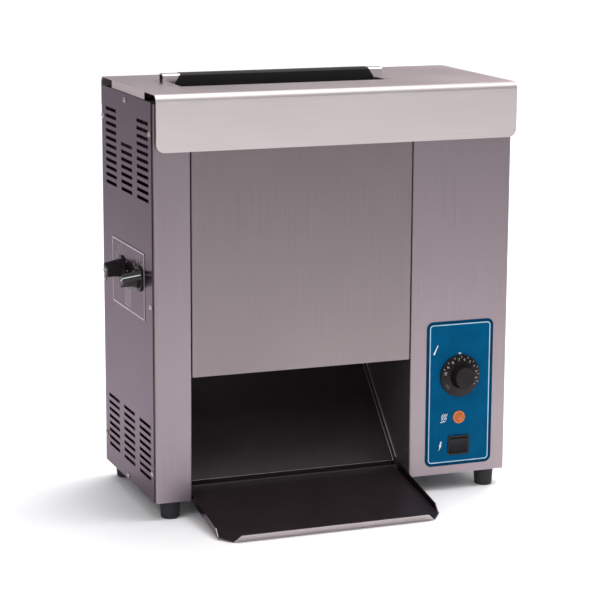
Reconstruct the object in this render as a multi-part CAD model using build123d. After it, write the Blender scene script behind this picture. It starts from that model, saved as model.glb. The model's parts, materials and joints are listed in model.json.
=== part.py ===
from build123d import *
from math import atan, cos, degrees, pi, radians, sin, sqrt, tan
import os

# Vertical contact toaster for buns.
#
# Bun halves go in at two slots in the top cover.  Two driven belts carry them down past a heated
# platen, and they slide over a chute onto the landing tray at the front.
#
# Everything is modelled in cabinet coordinates: X to the right, Y to the back and Z up, in
# millimetres from the cabinet's front bottom left corner.  The last step moves the origin to the
# surface that the toaster stands on, under the centre of its outer box.

# Cabinet
CABINET_WIDTH = 534.0
CABINET_DEPTH = 248.0
SIDE_TOP = 558.0
COVER_TOP = 570.0
FRAME_TOP = 556.0
SHEET = 1.2
BEND = 2.4
WALL_LEFT = 53.0
WALL_RIGHT = 382.5
RETURN_FLANGE = 18.0
REAR_INSIDE = CABINET_DEPTH - SHEET
REAR_FLANGE = 20.0
REAR_WRAP = 24.0
CORNER_GAP = 2.0  # left between folded sheets where they meet at a corner
OVERCUT = 1.0  # how far a cut runs past the metal
PAN_EDGE = 14.0
PAN_VENT = (40.0, 4.0)  # length, width
PAN_VENTS_X = (450.0, 470.0, 490.0)
PAN_VENTS_Y = (90.0, 140.0)
RAIL_WIDTH = 20.0
RAIL_DROP = 18.0
SIDE_PANEL_Y = (5.0, 243.0)
SIDE_PANEL_BOTTOM = 1.0

# Front cover, between the two end frames
FRONT_COVER_BOTTOM = 176.0
FRONT_COVER_TOP = 555.0
FRONT_COVER_RETURN = 14.0
PANEL_GAP = 1.0

# Top cover
COVER_BEND = 10.0
COVER_OVERHANG = 16.0
COVER_FLANGE = 78.0
COVER_CORNER = 12.0
COVER_REAR_FLANGE = 40.0
END_TAB_SPAN = (38.0, 194.0)
END_TAB_BOTTOM = 558.5
SLOT_SPAN = (65.0, 371.0)
SLOT_LIP = 9.0
TAB_SLIT = (1.6, 32.0)  # width, length
TAB_SLIT_X = (55.2, 377.6)
TAB_SLIT_OFFSET = 32.5

# Conveyors: two belt loops, one each side of the platen
PLATEN_CENTRE = 124.0
PLATEN_THICKNESS = 17.0
PLATEN_SPAN = (62.0, 373.0)
PLATEN_HEIGHTS = (228.0, 520.0)
PLATEN_EDGE = 8.0
BRACKET_WIDTH = 24.0
BRACKET_HEIGHTS = (240.0, 510.0)
CONVEYOR_OFFSET = 72.0
DRIVE_HEIGHT = 235.0
IDLER_HEIGHT = 500.0
BELT_SPAN = (66.0, 369.0)
BELT_INSIDE = 22.0
BELT_THICKNESS = 1.6
BELT_RIB = 1.0
BELT_RIB_WIDTH = 2.4
BELT_RIB_PITCH = 20.0
ROLLER_RADIUS = 21.7
ROLLER_EDGE = 1.5
ROLLER_INSET = 0.5
SHAFT_RADIUS = 6.0
JOURNAL_REACH = 7.0
SHAFT_END = 2.0
BUSHING_RADIUS = 8.0
BUSHING_FLANGE_RADIUS = 11.0
BUSHING_REACH = 4.0
RUNNING_GAP = 0.05
FRONT_LANE = -1
REAR_LANE = 1
LANES = {"front": FRONT_LANE, "rear": REAR_LANE}

# Heaters and release sheet
HEATER_HEIGHTS = (290.0, 374.0, 458.0)
HEATER_RADIUS = 5.0
HEATER_BORE = 5.1
HEATER_HOLE = 6.0
HEATER_ENDS = ((4.0, HEATER_RADIUS), (8.0, 3.5), (14.0, 1.5))  # reach past the walls, radius
RELEASE_GAP = 0.2
RELEASE_THICKNESS = 0.4
RELEASE_SPAN = (69.0, 368.0)
RELEASE_BOTTOM = 212.0
RELEASE_TAPER = 9.0
RELEASE_BEND = 1.8
GUIDE_SPAN = (51.0, 382.5)
GUIDE_TOP = 583.5
GUIDE_CHAMFER = 2.5
GUIDE_SHEET = 1.0
GUIDE_BEND = 1.4

# Compression: a snail cam on each side knob sets how close its pressure plate stands
KNOB_CENTRES = {"front": (62.0, 307.5), "rear": (147.5, 307.5)}
KNOB_POINTERS = {"front": -28.0, "rear": 192.0}
CAM_LOW = 6.0
CAM_RISE = 12.0
CAM_TURN = radians(270)
CAM_SPAN = (14.0, 22.0)
CAM_GAP = 0.3
CAM_SHAFT_RADIUS = 4.0
CAM_SHAFT_SPAN = (-18.0, 52.7)
PRESSURE_HEIGHTS = (262.0, 473.0)
PRESSURE_SHEET = 2.0
PRESSURE_BEND = 3.0
PRESSURE_DEPTH = 14.0
PRESSURE_INSET = 4.0
PRESSURE_GAP = 0.3
PRESSURE_WEB_HEIGHTS = (298.0, 430.0)
PRESSURE_ARM_HEIGHTS = (328.0, 340.0)
PRESSURE_ARM = 4.0
PRESSURE_ARM_REACH = 6.0
REAR_ARM_OFFSET = -14.0
ARM_CLEARANCE = 1.0
PRESSURE_PAD_MARGIN = 2.0
PRESSURE_PAD_BOTTOM = 290.0
SIDE_KNOB_RADIUS = 18.0
SIDE_KNOB_SKIRT = 2.6
SIDE_KNOB_BOSS = (13.0, 8.1)  # radius, reach
SIDE_KNOB_REACH = 25.6
SIDE_KNOB_GRIP = 13.0
SIDE_KNOB_CREST = (-15.0, 6.0)  # both ends of the bar's top edge
SIDE_KNOB_GAP = 0.2
SIDE_KNOB_BEVELS = (0.8, 1.5)  # skirt, boss
SIDE_KNOB_ROUNDING = 2.0
SIDE_KNOB_TIP = 17.6
KNOB_PLATE_Y = (38.5, 196.5)
KNOB_PLATE_Z = (250.5, 347.0)
KNOB_PLATE_THICKNESS = 0.5
KNOB_PLATE_CORNER = 3.0
KNOB_PLATE_HOLE = 5.0

# Drive: four equal gears reverse one conveyor against the other
GEAR_MODULE = 2.0
GEAR_TEETH = 24
PINION_TEETH = 16
GEAR_SPAN = (394.0, 402.0)
GEAR_BACKLASH = 0.2
PRESSURE_ANGLE = radians(20)
STUD_RADIUS = 4.0
STUD_SHOULDER = (7.0, 0.3)  # radius, gap to the gear
PINION_BORE = 3.0
MOTOR_SHAFT_RADIUS = 4.0
MOTOR_SHAFT_SPAN = (393.0, 422.0)
MOTOR_FACE = 405.2
MOTOR_BRACKET_WIDTH = 68.0
MOTOR_BRACKET_HEIGHTS = (158.0, 207.0)
MOTOR_BRACKET_HOLE = 8.0
GEARBOX_DEPTH = 36.0
GEARBOX_WIDTH = 64.0
GEARBOX_DROP = 34.0
GEARBOX_RISE = 28.0
GEARBOX_CORNER = 6.0
MOTOR_CAN = (27.0, 48.0)  # radius, length
MOTOR_CAP = (20.0, 8.0)  # radius, length

# Chute and landing tray
CHUTE_FOOT = (51.9, 11.9)  # Y and Z
CHUTE_TOP = (243.0, 204.0)
CHUTE_FLANGE = 10.0
CHUTE_GAP = 0.5
CHUTE_FOOT_INSET = 4.0
TRAY_WIDTH = 328.0
TRAY_LENGTH = 165.0
TRAY_SLOPE = 9.0
TRAY_REAR = (36.0, 0.9)  # Y and Z
TRAY_LIP = (13.0, 9.0)  # height at the rear and in front
TRAY_LIP_END = 12.0
TRAY_FRONT_LIP = 11.0
TRAY_CORNER = (15.0, 19.0)  # across, back
TRAY_LEAN = 14.0
HANGER_Y = 38.0
HANGER_TOP = 9.0
HANGER_INSET = 5.0
HOOK_INSET = 7.0
HOOK_RISE = 1.4
HOOK_REACH = 5.2
HOOK_END = 4.0

# Controls
CONTROL_X = 460.0
CONTROL_PLATE_Z = (12.5, 227.5)
CONTROL_PLATE_WIDTH = 105.0
CONTROL_PLATE_CORNER = 10.0
CONTROL_PLATE_THICKNESS = 0.6
DIAL_Z = 146.0
DIAL_RADIUS = 31.0
DIAL_GAP = 0.4
DIAL_SKIRT = (2.6, 0.8)  # thickness, bevel
DIAL_GRIP = ((17.8, 7.2), (15.7, 19.6), (14.5, 21.0))  # radius and reach, from the skirt out
DIAL_SHAFT = (3.0, 20.0)  # radius, end
DIAL_HOLE = 5.0
DIAL_FLUTES = 12
DIAL_FLUTE = (18.6, 2.2, 8.0)  # circle, radius, where it starts
THERMOSTAT_SIZE = (38.0, 28.0, 34.0)
THERMOSTAT_FRONT = 8.0
THERMOSTAT_NECK = 6.5
THERMOSTAT_CORNER = 3.0
CAPILLARY = (2.0, 8.0)  # radius, length
CAPILLARY_PLACE = (-8.0, 4.0)
LAMP_Z = 84.0
LAMP_RADIUS = 9.2
LAMP_RIM = 2.2
LAMP_CROWN = 5.0
LAMP_HOLE = 7.6
LAMP_BARREL = (7.5, 26.0)  # radius, end
LAMP_CLIP = (10.5, 4.0)  # radius, end
SWITCH_Z = 42.3
SWITCH_SIZE = (33.0, 28.0)
SWITCH_BEZEL = 2.2
SWITCH_CORNER = 2.0
SWITCH_HOLE_INSET = 1.5
SWITCH_BODY_INSET = 1.6
SWITCH_DEPTH = 24.0
SWITCH_WELL = 11.0
ROCKER_SIZE = (27.0, 21.0)
ROCKER_TILT = 8.0
ROCKER_AXIS = 0.4
ROCKER_PIN = 1.0
ROCKER_PIN_INSET = 1.8
ROCKER_ROOM = (0.8, 1.6)  # across, up
ROCKER_BACK = (3.5, 7.5)  # depth at the ends and in the middle
FAN_CENTRE = (458.0, 330.0)
FAN_SIZE = 80.0
FAN_DEPTH = 25.0
FAN_BLADES = 7
FAN_WALL = 2.0
FAN_CORNER = 4.0
FAN_STRUT = 3.0
FAN_MOTOR_RADIUS = 15.0
FAN_HUB_RADIUS = 16.0
FAN_BLADE = (22.0, 1.4, 20.0)  # length, thickness, width
FAN_BLADE_CENTRE = 25.5
FAN_BLADE_PITCH = 38.0
GLAND_CENTRE = (500.0, 40.0)
GLAND_BORE = 4.5
GLAND_RADIUS = 8.0
GLAND_FLANGE_RADIUS = 11.0
GLAND_LENGTH = 12.0
GLAND_FLANGE = 3.0
GLAND_NUT = 4.0
TERMINAL_X = (470.0, 518.0)
TERMINAL_Y = (180.0, 200.0)
TERMINAL_TOP = 14.0
TERMINAL_SCREWS = (476.0, 488.0, 500.0, 512.0)
TERMINAL_SCREW = (3.0, 3.0)  # radius, height
LIMIT_CENTRE = (150.0, 420.0)  # Y and Z
LIMIT_DISC = (9.0, 9.0)  # radius, reach from the wall
LIMIT_TABS = (-6.0, 5.0)
LIMIT_TAB = (6.0, 1.0, 8.0)  # length, thickness, height

# Vents: columns of slots, given by the height of their lowest and highest slot
VENT_LENGTH = 53.0
VENT_HEIGHT = 5.0
VENT_PITCH = 10.55
VENT_COLUMNS = (44.5, 120.5, 196.9)
VENT_GROUPS = ((421.9, (11, 7, 11)), (31.2, (8, 8, 8)))
REAR_VENT_COLUMNS = (427.0, 489.0)
REAR_VENT_ROWS = 7

# Fasteners and feet
SCREW_RADIUS = 2.0
SCREW_HOLE = 2.1
SCREW_HEAD_RADIUS = 4.2
SCREW_HEAD = 1.8
SCREW_LENGTH = 8.0
SIDE_SCREWS = ((127, 549), (11, 515), (11, 277), (11, 41), (237, 515), (237, 277), (237, 43), (127, 7))
REAR_SCREWS = ((43, 60), (43, 280), (43, 500), (392.5, 60), (392.5, 280), (392.5, 500))
COVER_SCREWS = ((120, 542), (414, 542))
FOOT_INSET = (25.0, 15.5)
FOOT_HEIGHT = 25.0
FOOT_TOP_RADIUS = 14.5
FOOT_BOTTOM_RADIUS = 12.8
FOOT_RECESS = (7.0, 12.0)  # radius, depth
FOOT_EDGE = 1.5
FOOT_SCREW_HOLE = 2.6
FOOT_SCREW = (2.5, 6.0)  # radius, end
FOOT_SCREW_HEAD = (5.0, 3.0)  # radius, height

# Derived
CAM_RATE = CAM_RISE / CAM_TURN
PLATEN_FRONT = PLATEN_CENTRE - PLATEN_THICKNESS / 2
BELT_OUTSIDE = BELT_INSIDE + BELT_THICKNESS
GEAR_RADIUS = GEAR_MODULE * GEAR_TEETH / 2
PINION_RADIUS = GEAR_MODULE * PINION_TEETH / 2
MOTOR_AXIS = (PLATEN_CENTRE - GEAR_RADIUS, DRIVE_HEIGHT - GEAR_RADIUS - PINION_RADIUS)
SIDE_PLANES = {"left": (-SHEET, 0.0), "right": (CABINET_WIDTH, CABINET_WIDTH + SHEET)}


def conveyor_y(lane):
    """Distance back of a lane's two roller axes."""
    return PLATEN_CENTRE + lane * CONVEYOR_OFFSET


def block(x, y, z):
    """Box between pairs of limits."""
    size = [limits[1] - limits[0] for limits in (x, y, z)]
    return Pos(x[0], y[0], z[0]) * Box(*size, align=Align.MIN)


def rod(x, y, z, radius):
    """Cylinder along X between two limits."""
    return Pos(x[0], y, z) * Rot(0, 90, 0) * Cylinder(radius, x[1] - x[0], align=AXIAL)


def rod_back(x, y, z, radius):
    """Cylinder along Y between two limits."""
    return Pos(x, y[0], z) * Rot(-90, 0, 0) * Cylinder(radius, y[1] - y[0], align=AXIAL)


def rod_up(x, y, z, radius):
    """Cylinder along Z between two limits."""
    return Pos(x, y, z[0]) * Cylinder(radius, z[1] - z[0], align=AXIAL)


AXIAL = (Align.CENTER, Align.CENTER, Align.MIN)


def bent_sheet(outline, plane, width, side, thickness=SHEET, radius=BEND):
    """Sheet folded along an outline of its outer faces, as wide as asked along the plane's normal."""
    line = FilletPolyline(*outline, radius=radius)
    profile = make_face(line.wire().offset_2d(thickness, side=side, closed=True))
    return extrude(plane * profile, width, dir=plane.z_dir)


def side_screw_holes():
    """Drills for the screws of both side panels."""
    span = (-2 * SHEET, CABINET_WIDTH + 2 * SHEET)
    return [rod(span, y, z, SCREW_HOLE) for y, z in SIDE_SCREWS]


def rear_screw_holes():
    """Drills for the screws of the rear cover and of the top cover's rear flange."""
    span = (REAR_INSIDE - 2 * SHEET, CABINET_DEPTH + 2 * SHEET)
    return [rod_back(x, span, z, SCREW_HOLE) for x, z in REAR_SCREWS + COVER_SCREWS]


# ---------------------------------------------------------------- cabinet

def end_frame(side):
    """Front column, inner wall and rear flange, folded from one sheet."""
    left = side == "left"
    outer = 0.0 if left else CABINET_WIDTH
    wall = WALL_LEFT if left else WALL_RIGHT
    inward = -1 if left else 1
    outline = [
        (outer, RETURN_FLANGE),
        (outer, 0),
        (wall, 0),
        (wall, REAR_INSIDE),
        (wall + inward * REAR_FLANGE, REAR_INSIDE),
    ]
    frame = bent_sheet(outline, Plane.XY, COVER_TOP - SHEET, Side.LEFT if left else Side.RIGHT)
    everywhere = grown((0, CABINET_WIDTH), OVERCUT)
    above = (FRAME_TOP, COVER_TOP)
    frame -= block(everywhere, (-OVERCUT, RETURN_FLANGE + CORNER_GAP), above)
    frame -= block(everywhere, (REAR_INSIDE - REAR_FLANGE, REAR_INSIDE + OVERCUT), above)
    pan = (SHEET, CABINET_WIDTH - SHEET)
    frame -= block(pan, (SHEET, CABINET_DEPTH), (-OVERCUT, SHEET))
    through = grown((wall, wall), SHEET + OVERCUT)
    for lane in LANES.values():
        for height in (DRIVE_HEIGHT, IDLER_HEIGHT):
            frame -= rod(through, conveyor_y(lane), height, BUSHING_RADIUS)
    for height in HEATER_HEIGHTS:
        frame -= rod(through, PLATEN_CENTRE, height, HEATER_HOLE)
    for name in LANES:
        frame -= block(through, arm_slot(name), grown(PRESSURE_ARM_HEIGHTS, ARM_CLEARANCE))
    if left:
        for y, z in KNOB_CENTRES.values():
            frame -= rod(through, y, z, CAM_SHAFT_RADIUS + RUNNING_GAP)
    else:
        frame -= gear_stud_holes(through)
        frame -= control_cutouts()
    for drill in side_screw_holes() + rear_screw_holes():
        frame -= drill
    return frame


def grown(limits, margin):
    """Limits moved apart by a margin each way."""
    return (limits[0] - margin, limits[1] + margin)


def gear_stud_holes(through):
    """Holes of the two studs that carry the reversing gears."""
    return [rod(through, y, DRIVE_HEIGHT, STUD_RADIUS) for y in reversing_gear_centres()]


def control_cutouts():
    """Holes for the thermostat shaft, pilot lamp and power switch in the right column."""
    through = grown((-CONTROL_PLATE_THICKNESS, SHEET), OVERCUT)
    holes = ((DIAL_Z, DIAL_HOLE), (LAMP_Z, LAMP_HOLE))
    cuts = [rod_back(CONTROL_X, through, z, radius) for z, radius in holes]
    half_width, half_height = [size / 2 - SWITCH_HOLE_INSET for size in SWITCH_SIZE]
    across = (CONTROL_X - half_width, CONTROL_X + half_width)
    return cuts + [block(across, through, (SWITCH_Z - half_height, SWITCH_Z + half_height))]


def base_pan():
    """Floor of the cabinet, turned up at both ends, with the tray's hanger at its front notch."""
    left, right = SHEET, CABINET_WIDTH - SHEET
    outline = [(left, PAN_EDGE), (left, 0), (right, 0), (right, PAN_EDGE)]
    rear = REAR_INSIDE - SHEET
    start = Plane(origin=(0, rear, 0), x_dir=(1, 0, 0), z_dir=(0, -1, 0))
    pan = bent_sheet(outline, start, rear - SHEET, Side.LEFT)
    above = (SHEET, PAN_EDGE + OVERCUT)
    for x in (grown((0, left), CORNER_GAP), grown((right, CABINET_WIDTH), CORNER_GAP)):
        pan -= block(x, (0, 2 * CORNER_GAP), above)
        pan -= block(x, (CABINET_DEPTH - REAR_WRAP - CORNER_GAP, CABINET_DEPTH), above)
    through = (-OVERCUT, SHEET + OVERCUT)
    pan -= block((WALL_LEFT, WALL_RIGHT), (0, HANGER_Y), through)
    hanger = grown((WALL_LEFT, WALL_RIGHT), -HANGER_INSET)
    pan += block(hanger, (HANGER_Y, HANGER_Y + SHEET), (0, HANGER_TOP))
    for x, y in foot_places().values():
        pan -= rod_up(x, y, through, FOOT_SCREW_HOLE)
    vent = extrude(SlotOverall(*PAN_VENT, rotation=90), SHEET + OVERCUT, both=True)
    for x in PAN_VENTS_X:
        for y in PAN_VENTS_Y:
            pan -= Pos(x, y, 0) * vent
    for drill in side_screw_holes():
        pan -= drill
    return pan


def vent_slots():
    """Slot outlines of a side panel, in its own plane."""
    slot = Rectangle(VENT_LENGTH, VENT_HEIGHT)
    slots = []
    for lowest, counts in VENT_GROUPS:
        for centre, count in zip(VENT_COLUMNS, counts):
            slots += [Pos(centre, lowest + row * VENT_PITCH) * slot for row in range(count)]
    return slots


def side_panel(side):
    """Flat louvred panel, screwed over the end frame's flanges."""
    size = (SIDE_PANEL_Y[1] - SIDE_PANEL_Y[0], SIDE_TOP - SIDE_PANEL_BOTTOM)
    face = Pos(SIDE_PANEL_Y[0], SIDE_PANEL_BOTTOM) * Rectangle(*size, align=Align.MIN)
    face -= vent_slots()
    face -= [Pos(y, z) * Circle(SCREW_HOLE) for y, z in SIDE_SCREWS]
    if side == "left":
        face -= [Pos(y, z) * Circle(CAM_SHAFT_RADIUS + RUNNING_GAP) for y, z in KNOB_CENTRES.values()]
    inner = SIDE_PLANES[side][0]
    return extrude(Plane.YZ.offset(inner) * face, SHEET)


def rear_cover():
    """Back of the cabinet, wrapped round both corners, with the fan's vents and the cord hole."""
    wrap = CABINET_DEPTH - REAR_WRAP
    outline = [(0, wrap), (0, CABINET_DEPTH), (CABINET_WIDTH, CABINET_DEPTH), (CABINET_WIDTH, wrap)]
    cover = bent_sheet(outline, Plane.XY, FRAME_TOP, Side.RIGHT)
    lowest = FAN_CENTRE[1] - (REAR_VENT_ROWS - 1) / 2 * VENT_PITCH
    outside = Plane.XZ.offset(-CABINET_DEPTH - OVERCUT)
    for column in REAR_VENT_COLUMNS:
        for row in range(REAR_VENT_ROWS):
            slot = Pos(column, lowest + row * VENT_PITCH) * Rectangle(VENT_LENGTH, VENT_HEIGHT)
            cover -= extrude(outside * slot, SHEET + 2 * OVERCUT, dir=(0, -1, 0))
    through = grown((REAR_INSIDE, CABINET_DEPTH), OVERCUT)
    cover -= rod_back(GLAND_CENTRE[0], through, GLAND_CENTRE[1], GLAND_RADIUS)
    for drill in side_screw_holes() + rear_screw_holes():
        cover -= drill
    return cover


def top_rails():
    """Angles between column and rear cover that stiffen the open tops of both end frames."""
    span = (RETURN_FLANGE + CORNER_GAP, CABINET_DEPTH - REAR_WRAP - CORNER_GAP)
    start = Plane(origin=(0, span[1], 0), x_dir=(1, 0, 0), z_dir=(0, -1, 0))
    width = CABINET_WIDTH
    low = FRAME_TOP - RAIL_DROP
    left = [(0, low), (0, FRAME_TOP), (RAIL_WIDTH, FRAME_TOP)]
    right = [(width, low), (width, FRAME_TOP), (width - RAIL_WIDTH, FRAME_TOP)]
    length = span[1] - span[0]
    rails = bent_sheet(left, start, length, Side.RIGHT) + bent_sheet(right, start, length, Side.LEFT)
    for drill in side_screw_holes():
        rails -= drill
    return rails


def front_cover():
    """Panel between the two columns, above the outlet, folded back along both sides and below."""
    left, right = WALL_LEFT + PANEL_GAP, WALL_RIGHT - PANEL_GAP
    back = FRONT_COVER_RETURN
    outline = [(left, back), (left, 0), (right, 0), (right, back)]
    start = Plane.XY.offset(FRONT_COVER_BOTTOM)
    cover = bent_sheet(outline, start, FRONT_COVER_TOP - FRONT_COVER_BOTTOM, Side.LEFT)
    across = (left + SHEET, right - SHEET)
    for height in (FRONT_COVER_BOTTOM, FRONT_COVER_TOP - SHEET):
        cover += block(across, (SHEET / 2, back), (height, height + SHEET))
    return cover


def top_cover():
    """Cover folded down in front and behind: two bun slots, slits beside them and a tab at each end."""
    front, rear = -COVER_OVERHANG, CABINET_DEPTH + SHEET
    outline = [
        (front, COVER_TOP - COVER_FLANGE),
        (front, COVER_TOP),
        (rear, COVER_TOP),
        (rear, COVER_TOP - COVER_REAR_FLANGE),
    ]
    cover = bent_sheet(outline, Plane.YZ, CABINET_WIDTH, Side.RIGHT, radius=COVER_BEND)
    lowest = cover.edges().filter_by(Axis.Y).group_by(Axis.Z)[0]
    cover = fillet(lowest, COVER_CORNER)
    reach = CONVEYOR_OFFSET - BELT_OUTSIDE + 0.4
    under = COVER_TOP - SHEET
    for lane in LANES.values():
        inner = PLATEN_CENTRE + lane * PLATEN_THICKNESS / 2
        outer = PLATEN_CENTRE + lane * reach
        cover -= block(SLOT_SPAN, sorted((inner, outer)), grown((under, COVER_TOP), OVERCUT))
        lip = sorted((outer, outer + lane * SHEET))
        cover += block(SLOT_SPAN, lip, (COVER_TOP - SLOT_LIP, under + SHEET / 2))
        for x in TAB_SLIT_X:
            slit = Pos(x, PLATEN_CENTRE + lane * TAB_SLIT_OFFSET, COVER_TOP) * Box(*TAB_SLIT, 2 * BEND)
            cover -= slit
    for x in ((0, SHEET), (CABINET_WIDTH - SHEET, CABINET_WIDTH)):
        cover += block(x, END_TAB_SPAN, (END_TAB_BOTTOM, under + SHEET / 2))
    for drill in rear_screw_holes():
        cover -= drill
    return cover


# ---------------------------------------------------------------- heating

def feed_guide():
    """Folded ridge on the cover between the slots, which keeps the two lanes apart."""
    front, rear = PLATEN_FRONT, PLATEN_FRONT + PLATEN_THICKNESS
    shoulder = GUIDE_TOP - GUIDE_CHAMFER
    outline = [
        (front, COVER_TOP),
        (front, shoulder),
        (front + GUIDE_CHAMFER, GUIDE_TOP),
        (rear - GUIDE_CHAMFER, GUIDE_TOP),
        (rear, shoulder),
        (rear, COVER_TOP),
    ]
    start = Plane.YZ.offset(GUIDE_SPAN[0])
    return bent_sheet(outline, start, GUIDE_SPAN[1] - GUIDE_SPAN[0], Side.RIGHT, GUIDE_SHEET, GUIDE_BEND)


def release_sheet():
    """Non-stick sheet hung over the guide, down both faces of the platen."""
    gap = RELEASE_GAP + RELEASE_THICKNESS
    front, rear = PLATEN_FRONT - gap, PLATEN_FRONT + PLATEN_THICKNESS + gap
    top = GUIDE_TOP + gap
    shoulder = GUIDE_TOP - GUIDE_CHAMFER + gap / 2
    outline = [
        (front, RELEASE_BOTTOM),
        (front, shoulder),
        (front + GUIDE_CHAMFER, top),
        (rear - GUIDE_CHAMFER, top),
        (rear, shoulder),
        (rear, RELEASE_BOTTOM),
    ]
    whole = bent_sheet(outline, Plane.YZ, CABINET_WIDTH, Side.RIGHT, RELEASE_THICKNESS, RELEASE_BEND)
    left, right = RELEASE_SPAN
    low, high, waist = RELEASE_BOTTOM - OVERCUT, top + OVERCUT, COVER_TOP + OVERCUT
    mask = Polyline(
        (left, low),
        (left, waist),
        (left + RELEASE_TAPER, high),
        (right - RELEASE_TAPER, high),
        (right, waist),
        (right, low),
        close=True,
    )
    cut = extrude(Plane.XZ * make_face(mask), CABINET_DEPTH, dir=(0, 1, 0))
    return whole & cut


def platen():
    """Cast plate with rounded edges, bored across for its heaters."""
    low, high = PLATEN_HEIGHTS
    section = RectangleRounded(PLATEN_THICKNESS, high - low, PLATEN_EDGE)
    face = Pos(PLATEN_CENTRE, (low + high) / 2) * section
    face -= [Pos(PLATEN_CENTRE, z) * Circle(HEATER_BORE) for z in HEATER_HEIGHTS]
    return extrude(Plane.YZ.offset(PLATEN_SPAN[0]) * face, PLATEN_SPAN[1] - PLATEN_SPAN[0])


def platen_brackets():
    """Channels that carry the platen's ends on the two inner walls."""
    near, far = grown((PLATEN_CENTRE, PLATEN_CENTRE), BRACKET_WIDTH / 2)
    low, high = BRACKET_HEIGHTS
    brackets = []
    ends = ((WALL_LEFT, PLATEN_SPAN[0], Side.LEFT), (WALL_RIGHT, PLATEN_SPAN[1], Side.RIGHT))
    for wall, end, side in ends:
        outline = [(wall, near), (end, near), (end, far), (wall, far)]
        bracket = bent_sheet(outline, Plane.XY.offset(low), high - low, side)
        for z in HEATER_HEIGHTS:
            bracket -= rod(grown((wall, wall), BRACKET_WIDTH / 2), PLATEN_CENTRE, z, HEATER_HOLE)
        brackets.append(bracket)
    return Compound(children=brackets)


def heater_rods():
    """Cartridge heaters with a ceramic neck and a stud at each end."""
    rods = []
    for z in HEATER_HEIGHTS:
        steps = [
            rod(grown((WALL_LEFT, WALL_RIGHT), reach), PLATEN_CENTRE, z, radius)
            for reach, radius in HEATER_ENDS
        ]
        rods.append(steps[0] + steps[1:])
    return Compound(children=rods)


# ---------------------------------------------------------------- conveyors

def belt(lane):
    """Endless belt loop with cross ribs on its outside."""
    middle = (DRIVE_HEIGHT + IDLER_HEIGHT) / 2
    spacing = IDLER_HEIGHT - DRIVE_HEIGHT
    profile = SlotCenterToCenter(spacing, 2 * BELT_OUTSIDE, rotation=90)
    count = int(spacing // BELT_RIB_PITCH) + 1
    for row in range(count):
        height = (row - (count - 1) / 2) * BELT_RIB_PITCH
        profile += Pos(0, height) * Rectangle(2 * (BELT_OUTSIDE + BELT_RIB), BELT_RIB_WIDTH)
    profile -= SlotCenterToCenter(spacing, 2 * BELT_INSIDE, rotation=90)
    placed = Plane.YZ.offset(BELT_SPAN[0]) * Pos(conveyor_y(lane), middle) * profile
    return extrude(placed, BELT_SPAN[1] - BELT_SPAN[0])


def roller(lane, height, right_end):
    """Covered drum with a journal at each end."""
    y = conveyor_y(lane)
    drum = rod(grown(BELT_SPAN, -ROLLER_INSET), y, height, ROLLER_RADIUS)
    drum = chamfer(drum.edges().filter_by(GeomType.CIRCLE), ROLLER_EDGE)
    drum += rod((WALL_LEFT - JOURNAL_REACH, right_end), y, height, SHAFT_RADIUS)
    return drum


def bushings(side):
    """Flanged plain bearings of the four roller journals on one inner wall."""
    wall, outward = (WALL_LEFT, -1) if side == "left" else (WALL_RIGHT, 1)
    end = wall + outward * BUSHING_REACH
    sleeve = sorted((wall, end))
    flange = sorted((wall + outward * SHEET, end))
    rings = []
    for lane in LANES.values():
        for height in (DRIVE_HEIGHT, IDLER_HEIGHT):
            y = conveyor_y(lane)
            ring = rod(sleeve, y, height, BUSHING_RADIUS) + rod(flange, y, height, BUSHING_FLANGE_RADIUS)
            rings.append(ring - rod(grown(sleeve, OVERCUT), y, height, SHAFT_RADIUS + RUNNING_GAP))
    return Compound(children=rings)


# ---------------------------------------------------------------- compression

def arm_limits(name):
    """Where a pressure plate's arm stands when its knob is at rest."""
    lane = LANES[name]
    if name == "front":
        pad_face = KNOB_CENTRES[name][0] + lane * (CAM_LOW + CAM_GAP)
        return tuple(sorted((pad_face, pad_face + lane * PRESSURE_ARM)))
    centre = conveyor_y(lane) + REAR_ARM_OFFSET
    return (centre - PRESSURE_ARM / 2, centre + PRESSURE_ARM / 2)


def arm_slot(name):
    """Wall slot that the arm travels in."""
    lane = LANES[name]
    near, far = arm_limits(name)
    travel = lane * CAM_RISE
    return grown((min(near, near + travel), max(far, far + travel)), ARM_CLEARANCE)


def pressure_plate(name):
    """Channel inside the belt loop, with an arm through each wall and a pad against the cam."""
    lane = LANES[name]
    low, high = PRESSURE_HEIGHTS
    face = PLATEN_CENTRE + lane * (CONVEYOR_OFFSET - BELT_INSIDE + PRESSURE_GAP)
    back = face + lane * PRESSURE_DEPTH
    left, right = grown(BELT_SPAN, -PRESSURE_INSET)
    outline = [(back, low), (face, low), (face, high), (back, high)]
    side = Side.RIGHT if lane == REAR_LANE else Side.LEFT
    plate = bent_sheet(outline, Plane.YZ.offset(left), right - left, side, PRESSURE_SHEET, PRESSURE_BEND)
    arm = arm_limits(name)
    web = (min(face, arm[0]), max(face, arm[1]))
    plate += block((left, left + PRESSURE_SHEET), web, PRESSURE_WEB_HEIGHTS)
    plate += block((right - PRESSURE_SHEET, right), web, PRESSURE_WEB_HEIGHTS)
    pad_x = grown(CAM_SPAN, PRESSURE_PAD_MARGIN)
    plate += block((right - PRESSURE_SHEET, WALL_RIGHT + PRESSURE_ARM_REACH), arm, PRESSURE_ARM_HEIGHTS)
    plate += block((pad_x[0], left + PRESSURE_SHEET), arm, PRESSURE_ARM_HEIGHTS)
    pad_face = KNOB_CENTRES[name][0] + lane * (CAM_LOW + CAM_GAP)
    pad = tuple(sorted((pad_face, pad_face + lane * PRESSURE_ARM)))
    plate += block(pad_x, pad, (PRESSURE_PAD_BOTTOM, PRESSURE_ARM_HEIGHTS[1]))
    if name == "rear":
        plate += block(pad_x, (pad[0], arm[1]), PRESSURE_ARM_HEIGHTS)
    return plate


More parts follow.
